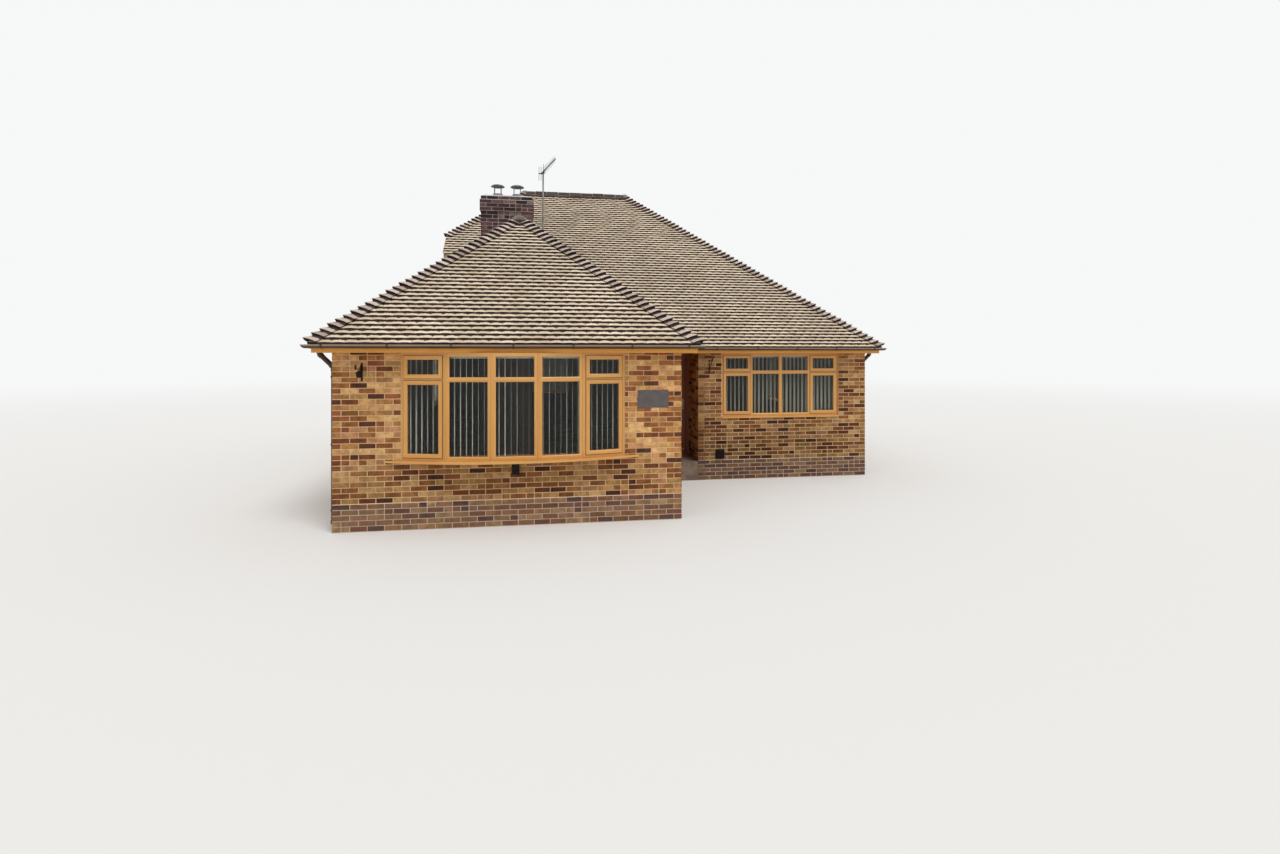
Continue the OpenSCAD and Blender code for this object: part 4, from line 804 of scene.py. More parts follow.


# the bonnets' band, tail and flanks are painted shade, and the band holds some grime too
bonnet_tile = tile_finish(
    "bonnet_tile",
    [(0.0, (192, 174, 163)), (0.4, (220, 202, 190)), (0.8, (238, 221, 209)), (1.0, (172, 154, 144))],
    (62, 50, 44), (40, 33, 30), 0.40, 0.12)
y_wing_apex = y_eave_wing + wing_run
z_wing_ridge = up_at(wing_run)
z_half_hip = ridge_z - hip_run * RISE
wing_apex = (x_wing_ridge, y_wing_apex, z_wing_ridge)
main_right = (x_ridge_right, y_ridge, ridge_z)
main_left = (x_ridge_left, y_ridge, ridge_z)
hips = {
    "wing_left_bonnets": [((x_eave_left, y_eave_wing, eave_z), wing_apex)],
    "wing_right_bonnets": [((x_eave_wing, y_eave_wing, eave_z), wing_apex)],
    "main_right_bonnets": [((x_eave_right, y, eave_z), main_right) for y in (y_eave_main, y_eave_rear)],
    "left_rear_bonnets": [((x_eave_left, y_eave_rear, eave_z),
                           (x_eave_left + run_dormer, y_eave_rear - run_dormer, up_at(run_dormer)))],
    "half_hip_bonnets": [((x_over, y, z_half_hip), main_left)
                         for y in (y_ridge - hip_run, y_ridge + hip_run)],
}
for name, lines in hips.items():
    points, faces, tones, upward = joined([lay_bonnets(*line) for line in lines])
    aside = np.tile(np.linspace(-1.0, 1.0, BONNET_ACROSS), len(points) // BONNET_ACROSS)
    make_piece(name, points, faces, bonnet_tile, "ridge_tile", smooth=40,
                                   face_values={"tone": tones},
                                   point_values={"upward": upward, "aside": aside})

# Half-round ridge tiles, 305 mm long, bedded end to end in mortar over the ridge of the main roof and of the
# wing, with a domed cap where the wing's hips meet.

RIDGE_LONG = 0.305
RIDGE_R = 0.118
RIDGE_T = 0.015
RIDGE_DROP = 0.042
RIDGE_LEAN = 0.007
RIDGE_ACROSS = 11
ARC = math.radians(158.0)
JOINT_GAP = 0.018
RIDGE_LAP = 0.035
STACK_GAP = 0.01
APEX_GAP = 0.04
CAP_TONE = 0.6
CAP_ASIDE = 0.25


def lay_ridge(start, end):
    """Half-round tiles in a row between two points on a level ridge, each a shell round the ridge's line."""
    start, end = np.array(start, dtype=float), np.array(end, dtype=float)
    length = np.linalg.norm(end - start)
    along = (end - start) / length
    side = np.cross(along, UP)
    count = max(1, round(length / RIDGE_LONG))
    begin = np.arange(count) * length / count
    turn = np.linspace(-ARC / 2, ARC / 2, RIDGE_ACROSS)
    lean = dice.uniform(-RIDGE_LEAN, RIDGE_LEAN, (count, 1))
    near, far, inner = JOINT_GAP / 2, length / count - JOINT_GAP / 2, RIDGE_R - RIDGE_T
    rows = []
    for share, radius in ((near, inner), (near, RIDGE_R), (far, RIDGE_R), (far, inner)):
        s = (begin + share)[:, None] + np.zeros((1, RIDGE_ACROSS))
        out = radius * np.sin(turn) + lean
        up = radius * np.cos(turn) - RIDGE_DROP + lean
        rows.append(start + s[..., None] * along + out[..., None] * side + up[..., None] * np.array(UP))
    quads, each = shell_rows(count, RIDGE_ACROSS)
    aside = np.tile(turn / (ARC / 2), count * 4)
    return np.stack(rows, axis=1).reshape(-1, 3), quads, np.repeat(dice.random(count), each), aside


def dome(centre, radius, height, rings=5, around=16):
    """A closed dome: rings of points on an ellipse turned about the vertical through centre."""
    lift = np.linspace(0.0, math.pi / 2, rings, endpoint=False)
    turn = np.linspace(0.0, 2 * math.pi, around, endpoint=False)
    xs = radius * np.cos(lift)[:, None] * np.cos(turn)
    ys = radius * np.cos(lift)[:, None] * np.sin(turn)
    zs = height * np.sin(lift)[:, None] + 0 * turn
    grid = np.stack([xs, ys, zs], axis=-1).reshape(-1, 3)
    points = np.concatenate([grid, [[0.0, 0.0, height], [0.0, 0.0, 0.0]]]) + np.array(centre)
    i, j = np.meshgrid(np.arange(rings - 1), np.arange(around), indexing="ij")
    k = (j + 1) % around
    quads = np.stack([i * around + j, i * around + k, (i + 1) * around + k, (i + 1) * around + j], axis=-1)
    top, last = rings * around, (rings - 1) * around
    caps = [[last + a, last + (a + 1) % around, top] for a in range(around)]
    caps += [[(a + 1) % around, a, top + 1] for a in range(around)]
    return points, quads.reshape(-1, 4).tolist() + caps


# dark and purplish, each of its own tone, and paler along its crown, both bleaching and a painted highlight
ridge_tile, tree, wear = start_finish("ridge_tile", 5.0, 85.0)
colour = ramp(tree, attribute(tree, "tone"),
              [(0.0, (68, 62, 64)), (0.6, (88, 80, 82)), (0.85, (74, 67, 69)), (1.0, (96, 78, 72))])
colour = tinge(tree, wear["Specks"], 0.6, colour, (52, 44, 42))
crest = spread(tree, calculate(tree, "ABSOLUTE", attribute(tree, "aside")), 0.34, 0.06)
colour = tinge(tree, crest, spread(tree, wear["Patches"], 0.0, 1.0, 0.3, 0.7), colour, (168, 156, 144))
shader(tree, colour, 0.9, wear["Height"], 0.0012, 0.6, Specular_IOR_Level=0.25)

wing_ridge = [((x_wing_ridge, y_wing_apex + APEX_GAP, z_wing_ridge),
               (x_wing_ridge, stack_y0 - STACK_GAP, z_wing_ridge)),
              ((x_wing_ridge, stack_y1 + STACK_GAP, z_wing_ridge), (x_wing_ridge, y_wing_end, z_wing_ridge))]
main_ridge = [((x_ridge_left - RIDGE_LAP, y_ridge, ridge_z), (x_ridge_right + RIDGE_LAP, y_ridge, ridge_z))]
for name, lines in (("wing_ridge_tiles", wing_ridge), ("main_ridge_tiles", main_ridge)):
    points, faces, tones, aside = joined([lay_ridge(*line) for line in lines])
    make_piece(name, points, faces, ridge_tile, "ridge_tile", smooth=40,
                                   face_values={"tone": tones}, point_values={"aside": aside})
# each cap: name, the point that it closes, where its foot lies from there, radius and height
for name, (x, y, z), (forward, sunk), radius, rise in (
        ("wing_apex_cap", wing_apex, (0.08, 0.06), 0.148, 0.11),
        ("main_left_cap", main_left, (0.0, 0.04), 0.120, 0.13),
        ("main_right_cap", main_right, (0.0, 0.04), 0.120, 0.13)):
    points, faces = dome((x, y - forward, z - sunk), radius, rise)
    tones = np.full(len(faces), CAP_TONE)
    # the caps grow paler towards their tops, the same bleaching and painted highlight as the ridge tiles'
    # crown
    aside = CAP_ASIDE - CAP_ASIDE * (points[:, 2] - (z - sunk)) / rise
    make_piece(name, points, faces, ridge_tile, "ridge_tile", smooth=60,
                                   face_values={"tone": tones}, point_values={"aside": aside})
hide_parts("ridge_tiles")

# The ridge tiles are bedded on a core of sand and cement, which shows between them and along their feet.
# It is half-round too, a few millimetres inside them, and as long as each row.

BED_INSIDE = 0.004
BED_ARC = math.pi * 0.94
BED_POINTS = 9


def swept(profile, start, end, side, up):
    """A closed bar: a closed profile of (across, up) carried straight from start to end."""
    profile = np.array(profile, dtype=float)
    count = len(profile)
    flat = profile[:, :1] * np.array(side) + profile[:, 1:] * np.array(up)
    points = np.concatenate([np.array(start) + flat, np.array(end) + flat])
    ring = [[i, (i + 1) % count, count + (i + 1) % count, count + i] for i in range(count)]
    return points, ring + [list(range(count))[::-1], list(range(count, 2 * count))]


def gathered(parts):
    """Joins (points, faces) parts into one, whatever the number of corners of their faces."""
    points, faces, base = [], [], 0
    for more, polygons in parts:
        points.append(np.asarray(more, dtype=float))
        faces += [[int(i) + base for i in polygon] for polygon in polygons]
        base += len(more)
    return np.concatenate(points), faces


bedding = worn("bedding_mortar", (4.0, 110.0), (150, 138, 122), (118, 106, 92), 0.95, 0.002, 0.6)
turn = np.linspace(-BED_ARC / 2, BED_ARC / 2, BED_POINTS)
bed_r = RIDGE_R - BED_INSIDE
bed_shape = np.column_stack([bed_r * np.sin(turn), bed_r * np.cos(turn) - RIDGE_DROP])[::-1]
beds = []
for first, last in wing_ridge + main_ridge:
    along = np.subtract(last, first) / np.linalg.norm(np.subtract(last, first))
    beds.append(swept(bed_shape, first, last, np.cross(along, UP), UP))
make_piece("ridge_bedding", *gathered(beds), bedding, "ridge_tile")

# Windows are plastic frames in golden oak woodgrain foil. Opening lights have a sash that stands proud of the
# frame, each pane sits in bevelled beads with a black gasket, and the transom is level with the others.

FRAME_FACE = 0.046
FRAME_DEPTH = 0.070
BEAD = 0.010
SASH_FACE = 0.050
SASH_PROUD = 0.012
SASH_LAP = 0.008
SASH_BACK = 0.048
REBATE = 0.020
WINDOW_BACK = 0.025
TRANSOM_Z = HEAD_Z - 0.368
BOW_Z = bow_window[0][2]
FLAT_Z = main_window[0][2]
MAIN_LIGHTS = 4
BOW_LIGHTS = 5
BOW_LIGHT = 0.630
BOW_TURN = math.radians(7.6)
DORMER_LIGHT = 0.600
DORMER_HIGH = 0.900

wood_grain, given, result = new_group("wood_grain", {"Upright": 0.0, "Fineness": 60.0}, ("Grain", "Streak"))
spot = wire(wood_grain, "ShaderNodeTexCoord").outputs["Object"]
level = vector(wood_grain, "MULTIPLY", spot, (0.05, 0.05, 1.0))
plumb = vector(wood_grain, "MULTIPLY", spot, (1.0, 1.0, 0.05))
chosen = wire(wood_grain, "ShaderNodeMix", {0: given.outputs["Upright"], 4: level, 5: plumb},
              data_type="VECTOR").outputs[1]
fine = noise(wood_grain, given.outputs["Fineness"], 6.0, 0.7, chosen)
broad = noise(wood_grain, 14.0, 3.0, 0.5, chosen)
wood_grain.links.new(spread(wood_grain, fine, 0.35, 0.65), result.inputs["Grain"])
wood_grain.links.new(spread(wood_grain, broad, 0.35, 0.65), result.inputs["Streak"])


def woodgrain_finish(name, light, middle, dark, roughness, fineness, coat=0.0, pores=0.55, upright=None):
    """Woodgrain: fine dark pores and broad streaks along the length, under a satin skin. Each face says
    whether its grain stands upright, unless upright says it for all of them."""
    material, tree, wear = start_finish(name, 2.0, 40.0)
    if upright is None:
        upright = attribute(tree, "upright")
    grain = place_group(tree, wood_grain, {"Upright": upright, "Fineness": fineness})
    colour = mix_colour(tree, grain["Streak"], middle, light)
    colour = tinge(tree, grain["Grain"], pores, colour, dark)
    gloss = spread(tree, wear["Patches"], 0.0, 1.0, roughness - 0.06, roughness + 0.08)
    shader(tree, colour, gloss, grain["Grain"], 0.0004, 0.35, Coat_Weight=coat, Coat_Roughness=0.3)
    return material


oak_foil = woodgrain_finish("oak_foil", (216, 162, 91), (206, 150, 78), (178, 120, 57), 0.42, 85.0,
                            pores=0.35)
gasket_rubber = worn("gasket_rubber", (12.0, 200.0), (34, 32, 30), (48, 44, 40), 0.6, 0.0003, 0.3)

clear_glass = blank_material("clear_glass")
tree = clear_glass.node_tree
smear = noise(tree, 3.0, 2.0)
tint = mix_colour(tree, smear, (0.90, 0.94, 0.93, 1.0), (0.86, 0.91, 0.91, 1.0))
shader(tree, tint, spread(tree, smear, 0.4, 0.7, 0.0, 0.03), smear, 0.0004, 0.08, Transmission_Weight=1.0,
       IOR=1.25)
for name in ("bow_glass", "main_window_glass", "other_window_glass"):
    dress(clear_glass, name)
    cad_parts[name].visible_shadow = False


def mitred(place, rect, widths, profile, soft=(1, 1, 1, 1)):
    """A mitred frame: a closed profile carried round a rectangle (left, right, foot, head). A profile row is
    (share of the face width, metres further in, depth behind the front plane), and widths are the face widths
    at the left, right, foot and head. Where soft is 0 the outer edge isn't eased. place is the front plane's
    origin with its level direction and its direction inwards. The last values tell upright faces."""
    rows = np.array(profile, dtype=float)
    share, extra, depth = rows.T
    outer = share < 0.5
    ends = []
    for side in range(4):
        inset = share * widths[side] + np.where(outer, extra * soft[side], extra)
        ends.append(rect[side] + inset if side in (0, 2) else rect[side] - inset)
    a, b, c, d = ends
    xs, zs = np.stack([a, b, b, a], axis=1), np.stack([c, c, d, d], axis=1)
    origin, along, inwards = (np.array(part, dtype=float) for part in place)
    flat = origin + xs.reshape(-1, 1) * along + np.repeat(depth, 4)[:, None] * inwards
    points = np.column_stack([flat, zs.reshape(-1)])
    i, j = np.meshgrid(np.arange(len(rows)), np.arange(4), indexing="ij")
    n, m = (i + 1) % len(rows), (j + 1) % 4
    quads = np.stack([i * 4 + j, i * 4 + m, n * 4 + m, n * 4 + j], axis=-1).reshape(-1, 4)
    return points, quads, np.tile([0.0, 1.0, 0.0, 1.0], len(rows))


fixed_profile = [(0, 0, 0.003), (0, 0.003, 0.0), (1, -0.004, 0.0), (1, 0.001, 0.003), (1, BEAD, 0.007),
                 (1, BEAD, REBATE), (1, 0.0, REBATE), (1, 0.0, FRAME_DEPTH), (0, 0.0, FRAME_DEPTH)]
open_profile = [(0, 0, 0.003), (0, 0.003, 0.0), (1, -0.002, 0.0), (1, 0.0, 0.002), (1, 0.0, FRAME_DEPTH),
                (0, 0.0, FRAME_DEPTH)]
sash_profile = [(0, 0, -0.0004), (0, 0, -0.009), (0, 0.003, -SASH_PROUD), (1, -0.015, -SASH_PROUD),
                (1, -0.010, -0.010), (1, -0.002, -0.006), (1, 0.0, REBATE - SASH_PROUD),
                (1, -BEAD, REBATE - SASH_PROUD), (1, -BEAD, SASH_BACK), (0, 0.011, SASH_BACK),
                (0, 0.011, -0.0004)]
gasket_profile = [(1, -0.004, 0.013), (1, 0.0025, 0.0165), (1, 0.0025, REBATE), (1, -0.004, REBATE)]
# a dark strip round each opening sash, painted shadow of the gap between sash and frame
gap_shade_profile = [(0, -0.006, -0.0002), (0, -0.006, -0.004), (0, 0.004, -0.004), (0, 0.004, -0.0002)]


def glaze(place, left, right, low, high, sides, opens, soft):
    """Frames, sashes and gasket strips of one pane's cell, with a dark strip round a sash that opens, painted
    shadow of the gap between sash and frame. The sash laps over the frame's inner edge all round."""
    rect = (left, right, low, high)
    framed = [mitred(place, rect, sides, open_profile if opens else fixed_profile, soft)]
    if not opens:
        return framed, [], [mitred(place, rect, [side + BEAD for side in sides], gasket_profile)]
    inner = [rect[i] + (sides[i] if i in (0, 2) else -sides[i]) for i in range(4)]
    lap = [inner[i] + (-SASH_LAP if i in (0, 2) else SASH_LAP) for i in range(4)]
    wide = [SASH_FACE + SASH_LAP] * 4
    behind = [(share, extra, depth - SASH_PROUD) for share, extra, depth in gasket_profile]
    return (framed, [mitred(place, lap, wide, sash_profile)],
            [mitred(place, lap, wide, profile) for profile in (behind, gap_shade_profile)])


def glaze_window(place, lights, width, foot, head, transom, opening_lights, coupled=False):
    """All cells of a window. Coupled lights each have a whole frame at a place of their own, and the others
    share their mullions."""
    shapes = ([], [], [])
    rows = [(foot, transom), (transom, head)] if transom else [(foot, head)]
    for light in range(lights):
        at, left = (place(light), 0.0) if coupled else (place, light * width)
        right = width if coupled else (light + 1) * width
        first, last = coupled or light == 0, coupled or light == lights - 1
        for number, (low, high) in enumerate(rows):
            edges = (first, last, number == 0, number == len(rows) - 1)
            sides = [FRAME_FACE if edge else FRAME_FACE / 2 for edge in edges]
            cell = glaze(at, left, right, low, high, sides, light in opening_lights, edges)
            for kept, more in zip(shapes, cell):
                kept.extend(more)
    return shapes


def set_window(name, frame_node, sash_node, shapes):
    """Makes a window's frame, sashes, and gasket strips with their painted gap shadow, the first two in place
    of its CAD nodes.
    """
    labels = ("frame", "sashes", "gaskets_and_gap_shade")
    for label, node, parts in zip(labels, (frame_node, sash_node, None), shapes):
        points, faces, upright = joined(parts)
        finish, slot = (oak_foil, "golden_oak") if node else (gasket_rubber, "brown_plastic")
        piece = make_piece(f"{name}_{label}", points, faces, finish, slot, face_values={"upright": upright})
        if node:
            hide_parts(node)


def bow_place(light):
    """Front plane of one light of the bow: its left corner, its level direction and its direction inwards."""
    turns = (np.arange(BOW_LIGHTS) - BOW_LIGHTS // 2) * BOW_TURN
    steps = BOW_LIGHT * np.stack([np.cos(turns), np.sin(turns)], axis=1)
    corner = np.array([bow_window[0][0], y_front]) + steps[:light].sum(axis=0)
    turn = turns[light]
    return corner, (math.cos(turn), math.sin(turn)), (-math.sin(turn), math.cos(turn))


def flat_place(corner, along, out):
    """Front plane of a flat window, set back from the wall's face."""
    inwards = -np.array(out, dtype=float)
    return np.array(corner) + WINDOW_BACK * inwards, along, inwards


set_window("bow", "bow_frame", "bow_sashes",
           glaze_window(bow_place, BOW_LIGHTS, BOW_LIGHT, BOW_Z, HEAD_Z, TRANSOM_Z, (0, BOW_LIGHTS - 1),
                        coupled=True))
main_place = flat_place((main_window[0][0], y_main), (1, 0), (0, -1))
set_window("main_window", "main_window_frame", "main_window_sashes",
           glaze_window(main_place, MAIN_LIGHTS, MAIN_LIGHT, FLAT_Z, HEAD_Z, TRANSOM_Z,
                        (0, MAIN_LIGHTS - 1)))
x_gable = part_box("dormer_gable_wall")[0][0]
dormer_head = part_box("other_window_frames")[1][2]
rear_x = [x_left + REAR_WINDOW_IN, x_right - REAR_WINDOW_IN]
side_levels = (FLAT_Z, HEAD_Z, TRANSOM_Z)
# each window: its place, its lights, its foot, head and transom, and which of its lights open
other_windows = [
    (flat_place((x_left, y_ridge + MAIN_LIGHT), (0, -1), (-1, 0)), 2, side_levels, (0, 1)),
    (flat_place((x_right, y_ridge - MAIN_LIGHT), (0, 1), (1, 0)), 2, side_levels, (0, 1)),
    *((flat_place((x + 2 * MAIN_LIGHT, y_rear), (-1, 0), (0, 1)), 4, side_levels, (0, 3)) for x in rear_x),
    (flat_place((x_gable, y_ridge + 1.5 * DORMER_LIGHT), (0, -1), (-1, 0)), 3,
     (dormer_head - DORMER_HIGH, dormer_head, 0.0), (0, 2)),
]
collected = ([], [], [])
for place, lights, levels, opening_lights in other_windows:
    for kept, more in zip(collected, glaze_window(place, lights, MAIN_LIGHT, *levels, opening_lights)):
        kept.extend(more)
set_window("other_window", "other_window_frames", "other_window_sashes", collected)

# The bow's lights are coupled with round poles in the same foil, one at each turn. They run from the sill to
# the head.

POLE_R = 0.013
POLE_BACK = 0.002


def pole(foot, head, radius, around=12):
    """A closed upright round bar between two points."""
    turn = np.linspace(0.0, 2 * math.pi, around, endpoint=False)
    ring = np.column_stack([radius * np.cos(turn), radius * np.sin(turn)])
    return swept(ring, foot, head, (0, -1, 0), (1, 0, 0))


poles = []
for light in range(1, BOW_LIGHTS):
    corner, along, inwards = bow_place(light)
    middle = corner + POLE_BACK * np.array(inwards)
    poles.append(pole((*middle, BOW_Z), (*middle, HEAD_Z), POLE_R))
points, faces = gathered(poles)
make_piece("bow_coupling_poles", points, faces, oak_foil, "golden_oak", smooth=40,
           face_values={"upright": np.ones(len(faces))})

# Vertical louvre blinds hang behind each window from a rail: stiff cream plastic vanes. At the front they are
# turned square to the walls, thin pale lines before the dark rooms, and at the other windows they are closed.

VANE_W = 0.089
VANE_STEP = 0.082
VANE_T = 0.0012
VANE_SWAY = math.radians(2.5)
VANE_FOOT = 0.012
VANE_MARGIN = 0.03
BLIND_BACK = 0.150
BLIND_DROP = 0.045
BLIND_RISE = 0.02
BOW_RISE = 0.03
LIGHT_GAP = 0.02
CLOSED = math.radians(12.0)
OPEN = math.pi / 2
RAIL = 0.034
RAIL_DEPTH = 0.040
RAIL_MARGIN = 0.02
CORNERS = np.array([[-1, -1], [1, -1], [1, 1], [-1, 1]])

vane_plastic, tree, wear = start_finish("vane_plastic", 2.0, 150.0)
cream = mix_colour(tree, wear["Patches"], (238, 235, 224), (226, 221, 206))
shader(tree, cream, 0.55, wear["Specks"], 0.0003, 0.3)


def hang_blind(place, left, right, foot, head, turn):
    """Vanes and rail behind one window. Each vane is a thin slat, turned by turn about its upright line."""
    origin, along, inwards = (np.array(part, dtype=float) for part in place)
    centres = np.arange(left + VANE_MARGIN + VANE_STEP / 2, right - VANE_MARGIN, VANE_STEP)
    parts = []
    for centre, angle in zip(centres, turn + dice.normal(0.0, VANE_SWAY, len(centres))):
        wide = math.cos(angle) * along + math.sin(angle) * inwards
        thick = -math.sin(angle) * along + math.cos(angle) * inwards
        middle = origin + centre * along + BLIND_BACK * inwards
        parts.append(swept(CORNERS * (VANE_W / 2, VANE_T / 2), (*middle, foot + VANE_FOOT),
                           (*middle, head - RAIL), (*wide, 0.0), (*thick, 0.0)))
    a, b = (origin + reach * along + BLIND_BACK * inwards
            for reach in (left + RAIL_MARGIN, right - RAIL_MARGIN))
    z = head - RAIL / 2
    parts.append(swept(CORNERS * (RAIL_DEPTH / 2, RAIL / 2), (*a, z), (*b, z), (*-inwards, 0.0), UP))
    return parts


bow_vanes = []
for light in range(BOW_LIGHTS):
    bow_vanes += hang_blind(bow_place(light), LIGHT_GAP * (light > 0), BOW_LIGHT, BOW_Z + BOW_RISE,
                            HEAD_Z - BLIND_DROP, OPEN - (light - BOW_LIGHTS // 2) * BOW_TURN)
make_piece("bow_blind", *gathered(bow_vanes), vane_plastic, "render")
main_vanes = hang_blind(main_place, 0.0, MAIN_LIGHTS * MAIN_LIGHT, FLAT_Z + BLIND_RISE,
                        HEAD_Z - BLIND_DROP, OPEN)
make_piece("main_window_blind", *gathered(main_vanes), vane_plastic, "render")
other_vanes = []
for place, lights, (foot, head, transom), opening_lights in other_windows:
    other_vanes += hang_blind(place, 0.0, lights * MAIN_LIGHT, foot + BLIND_RISE, head - BLIND_DROP, CLOSED)
make_piece("other_blinds", *gathered(other_vanes), vane_plastic, "render")

# Under the bow runs a sill board with a curved nosing, held by a small bracket. The flat windows have sloping
# sub-sills, in the same foil, and the floors and the porch step are plain concrete and boards.

concrete, tree, wear = start_finish("concrete", 2.5, 70.0)
grey = mix_colour(tree, wear["Patches"], (166, 160, 150), (140, 134, 124))
shader(tree, tinge(tree, wear["Specks"], 0.4, grey, (108, 102, 94)), 0.92, wear["Height"], 0.002, 0.6)
dress(concrete, "ground_floor")
# the porch step is darker concrete: the grime of its treads and painted shade of the porch
dress(worn("trodden_concrete_painted_shade", (6.0, 70.0), (132, 112, 98), (106, 90, 78), 0.9, 0.002, 0.6), "door_step")
boards = woodgrain_finish("floor_boards", (196, 160, 112), (180, 142, 96), (140, 104, 66), 0.7, 40.0)
dress(boards, "loft_floor")
# painted light: the fascia and soffit carry the window foil made brighter and warmer, a lit copy of it
fascia_foil_painted_light = woodgrain_finish("fascia_foil_painted_light", (240, 168, 70), (228, 156, 59), (188, 120, 40), 0.46, 60.0,
                               pores=0.35)
dress(oak_foil, "bow_sill", "window_sills")
dress(fascia_foil_painted_light, "fascia", "soffit")

# The door and its frame are stained dark brown softwood with six sunk panels. A metal weather bar runs along
# its foot, and its hinges, handles and letter plate are brass.

BAR_IN = 0.040
BAR_PROUD = 0.016
BAR_LET_IN = 0.004
BAR_LEVELS = (0.075, 0.095)
leaf_low, leaf_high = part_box("front_door")
door_stain = woodgrain_finish("door_stain", (150, 84, 46), (130, 70, 36), (84, 44, 24), 0.6, 55.0, coat=0.2,
                              upright=1.0)
dress(door_stain, "door_frame", "front_door")


def slab(low, high, edge=0.001):
    """A closed block with its long upper and lower edges eased: four level rings and two ends."""
    (x0, y0, z0), (x1, y1, z1) = low, high
    rings = []
    for inset, z in ((edge, z0), (0.0, z0 + edge), (0.0, z1 - edge), (edge, z1)):
        rings += [(x0 + inset, y0 + inset, z), (x1 - inset, y0 + inset, z), (x1 - inset, y1 - inset, z),
                  (x0 + inset, y1 - inset, z)]
    quads = [[a + i, a + (i + 1) % 4, a + 4 + (i + 1) % 4, a + 4 + i] for a in (0, 4, 8) for i in range(4)]
    return np.array(rings), quads + [[3, 2, 1, 0], [12, 13, 14, 15]]


bar_metal = worn("weather_bar", (8.0, 160.0), (184, 178, 168), (150, 144, 134), 0.5, 0.0003, 0.3)
bar = slab((leaf_low[0] + BAR_IN, leaf_low[1] - BAR_PROUD, leaf_low[2] + BAR_LEVELS[0]),
           (leaf_high[0] - BAR_IN, leaf_low[1] + BAR_LET_IN, leaf_low[2] + BAR_LEVELS[1]))
make_piece("weather_bar", *bar, bar_metal, "brass", body="door")

door_brass, tree, wear = start_finish("door_brass", 20.0, 160.0)
yellow = mix_colour(tree, wear["Patches"], (0.50, 0.36, 0.16, 1.0), (0.36, 0.25, 0.11, 1.0))
gloss = spread(tree, wear["Specks"], 0.0, 1.0, 0.22, 0.42)
shader(tree, yellow, gloss, wear["Height"], 0.0002, 0.3, Metallic=1.0)
dress(door_brass, "jamb_hinges", "leaf_hinges", "door_furniture")

# Half-round gutters in dark brown plastic run round the eaves on strap clips, with a painted highlight along
# their rims, and round downpipes at the left and right walls.

LIT_RIM_Z = (2.514, 2.540)
gutter_plastic, tree, wear = start_finish("gutter_plastic", 3.0, 120.0)
brown = mix_colour(tree, wear["Patches"], (74, 44, 28), (60, 35, 22))
# a painted highlight in specks along the rims
brown = tinge(tree, spread(tree, object_height(tree), *LIT_RIM_Z),
              spread(tree, wear["Specks"], 0.0, 1.0, 0.5, 0.9), brown, (176, 152, 130))
shader(tree, brown, 0.5, wear["Height"], 0.0004, 0.3)
clip_plastic = worn("clip_plastic", (6.0, 120.0), (46, 35, 29), (58, 44, 35), 0.5, 0.0004, 0.3)
dress(gutter_plastic, "gutter", "downpipes")
dress(clip_plastic, "gutter_brackets")

# The dormer's gable and cheeks are framed walls under sand and cement render. They are painted beige, and the
# paint has weathered in soft patches.

beige_render = worn("beige_render", (1.4, 120.0), (206, 186, 158), (186, 166, 140), 0.92, 0.002, 0.7)
dress(beige_render, "dormer_gable_wall", "dormer_cheeks")

# Boards close the dormer's eaves, its verges and the foot of its half hip, painted like the render. They
# cover the edge of the roof under the tiles.

BOARD_T = 0.014
BOARD_H = 0.195
BOARD_TOP = 0.004
board_paint = worn("board_paint", (3.0, 90.0), (180, 161, 142), (164, 146, 126), 0.7, 0.0008, 0.4)
board = np.array([[0.0, -BOARD_H], [BOARD_T, -BOARD_H], [BOARD_T, -BOARD_TOP], [0.0, -BOARD_TOP]])
eave_top, foot_top = up_at(run_dormer), ridge_z - verge_run * RISE
boards_round = []
for y, sign, past in ((y_dormer_eave, -1, 0.20), (y_dormer_rear, 1, 0.02)):
    boards_round.append(swept(board, (x_verge - BOARD_T, y, eave_top),
                              (x_eave_left + run_dormer + past, y, eave_top), (0, sign, 0), UP))
    boards_round.append(swept(board, (x_verge, y, eave_top), (x_verge, y_ridge + sign * verge_run, foot_top),
                              (-1, 0, 0), UP))
boards_round.append(swept(board, (x_verge, y_ridge - verge_run, foot_top),
                          (x_verge, y_ridge + verge_run, foot_top), (-1, 0, 0), UP))
make_piece("dormer_boards", *gathered(boards_round), board_paint, "render")

# The chimney stack straddles the wing's ridge. It is laid in dark purple-brown bricks with pale joints, and
# three oversailing courses run round it, one course below its top.

OVERSAIL = 0.020
STACK_COURSES = 18
OVERSAIL_FROM = 4
OVERSAIL_TO = 1
STACK_SNAPPED = 0.25
DUST_Z = (3.0, 2.9)
(stack_x, stack_y, _), (stack_far_x, stack_far_y, stack_top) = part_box("chimney_stack")
stack_low = (stack_x + OVERSAIL, stack_y + OVERSAIL)
stack_high = (stack_far_x - OVERSAIL, stack_far_y - OVERSAIL)
stack_brick = brick_finish(
    "stack_brick",
    [(0.00, (116, 98, 94)), (0.10, (94, 74, 74)), (0.32, (80, 62, 64)), (0.58, (64, 50, 52)),
     (0.80, (46, 36, 38)), (0.93, (92, 64, 57))],
    (150, 140, 130), 0.0, -1.0)
stack_mortar, tree, wear = start_finish("stack_mortar", 3.0, 120.0)
pinkish = mix_colour(tree, wear["Patches"], (170, 146, 138), (138, 118, 112))
pinkish = mix_colour(tree, spread(tree, object_height(tree), *DUST_Z), pinkish, (132, 120, 105))
shader(tree, pinkish, 0.95, wear["Height"], 0.002, 0.6)
dress(stack_mortar, "chimney_stack")


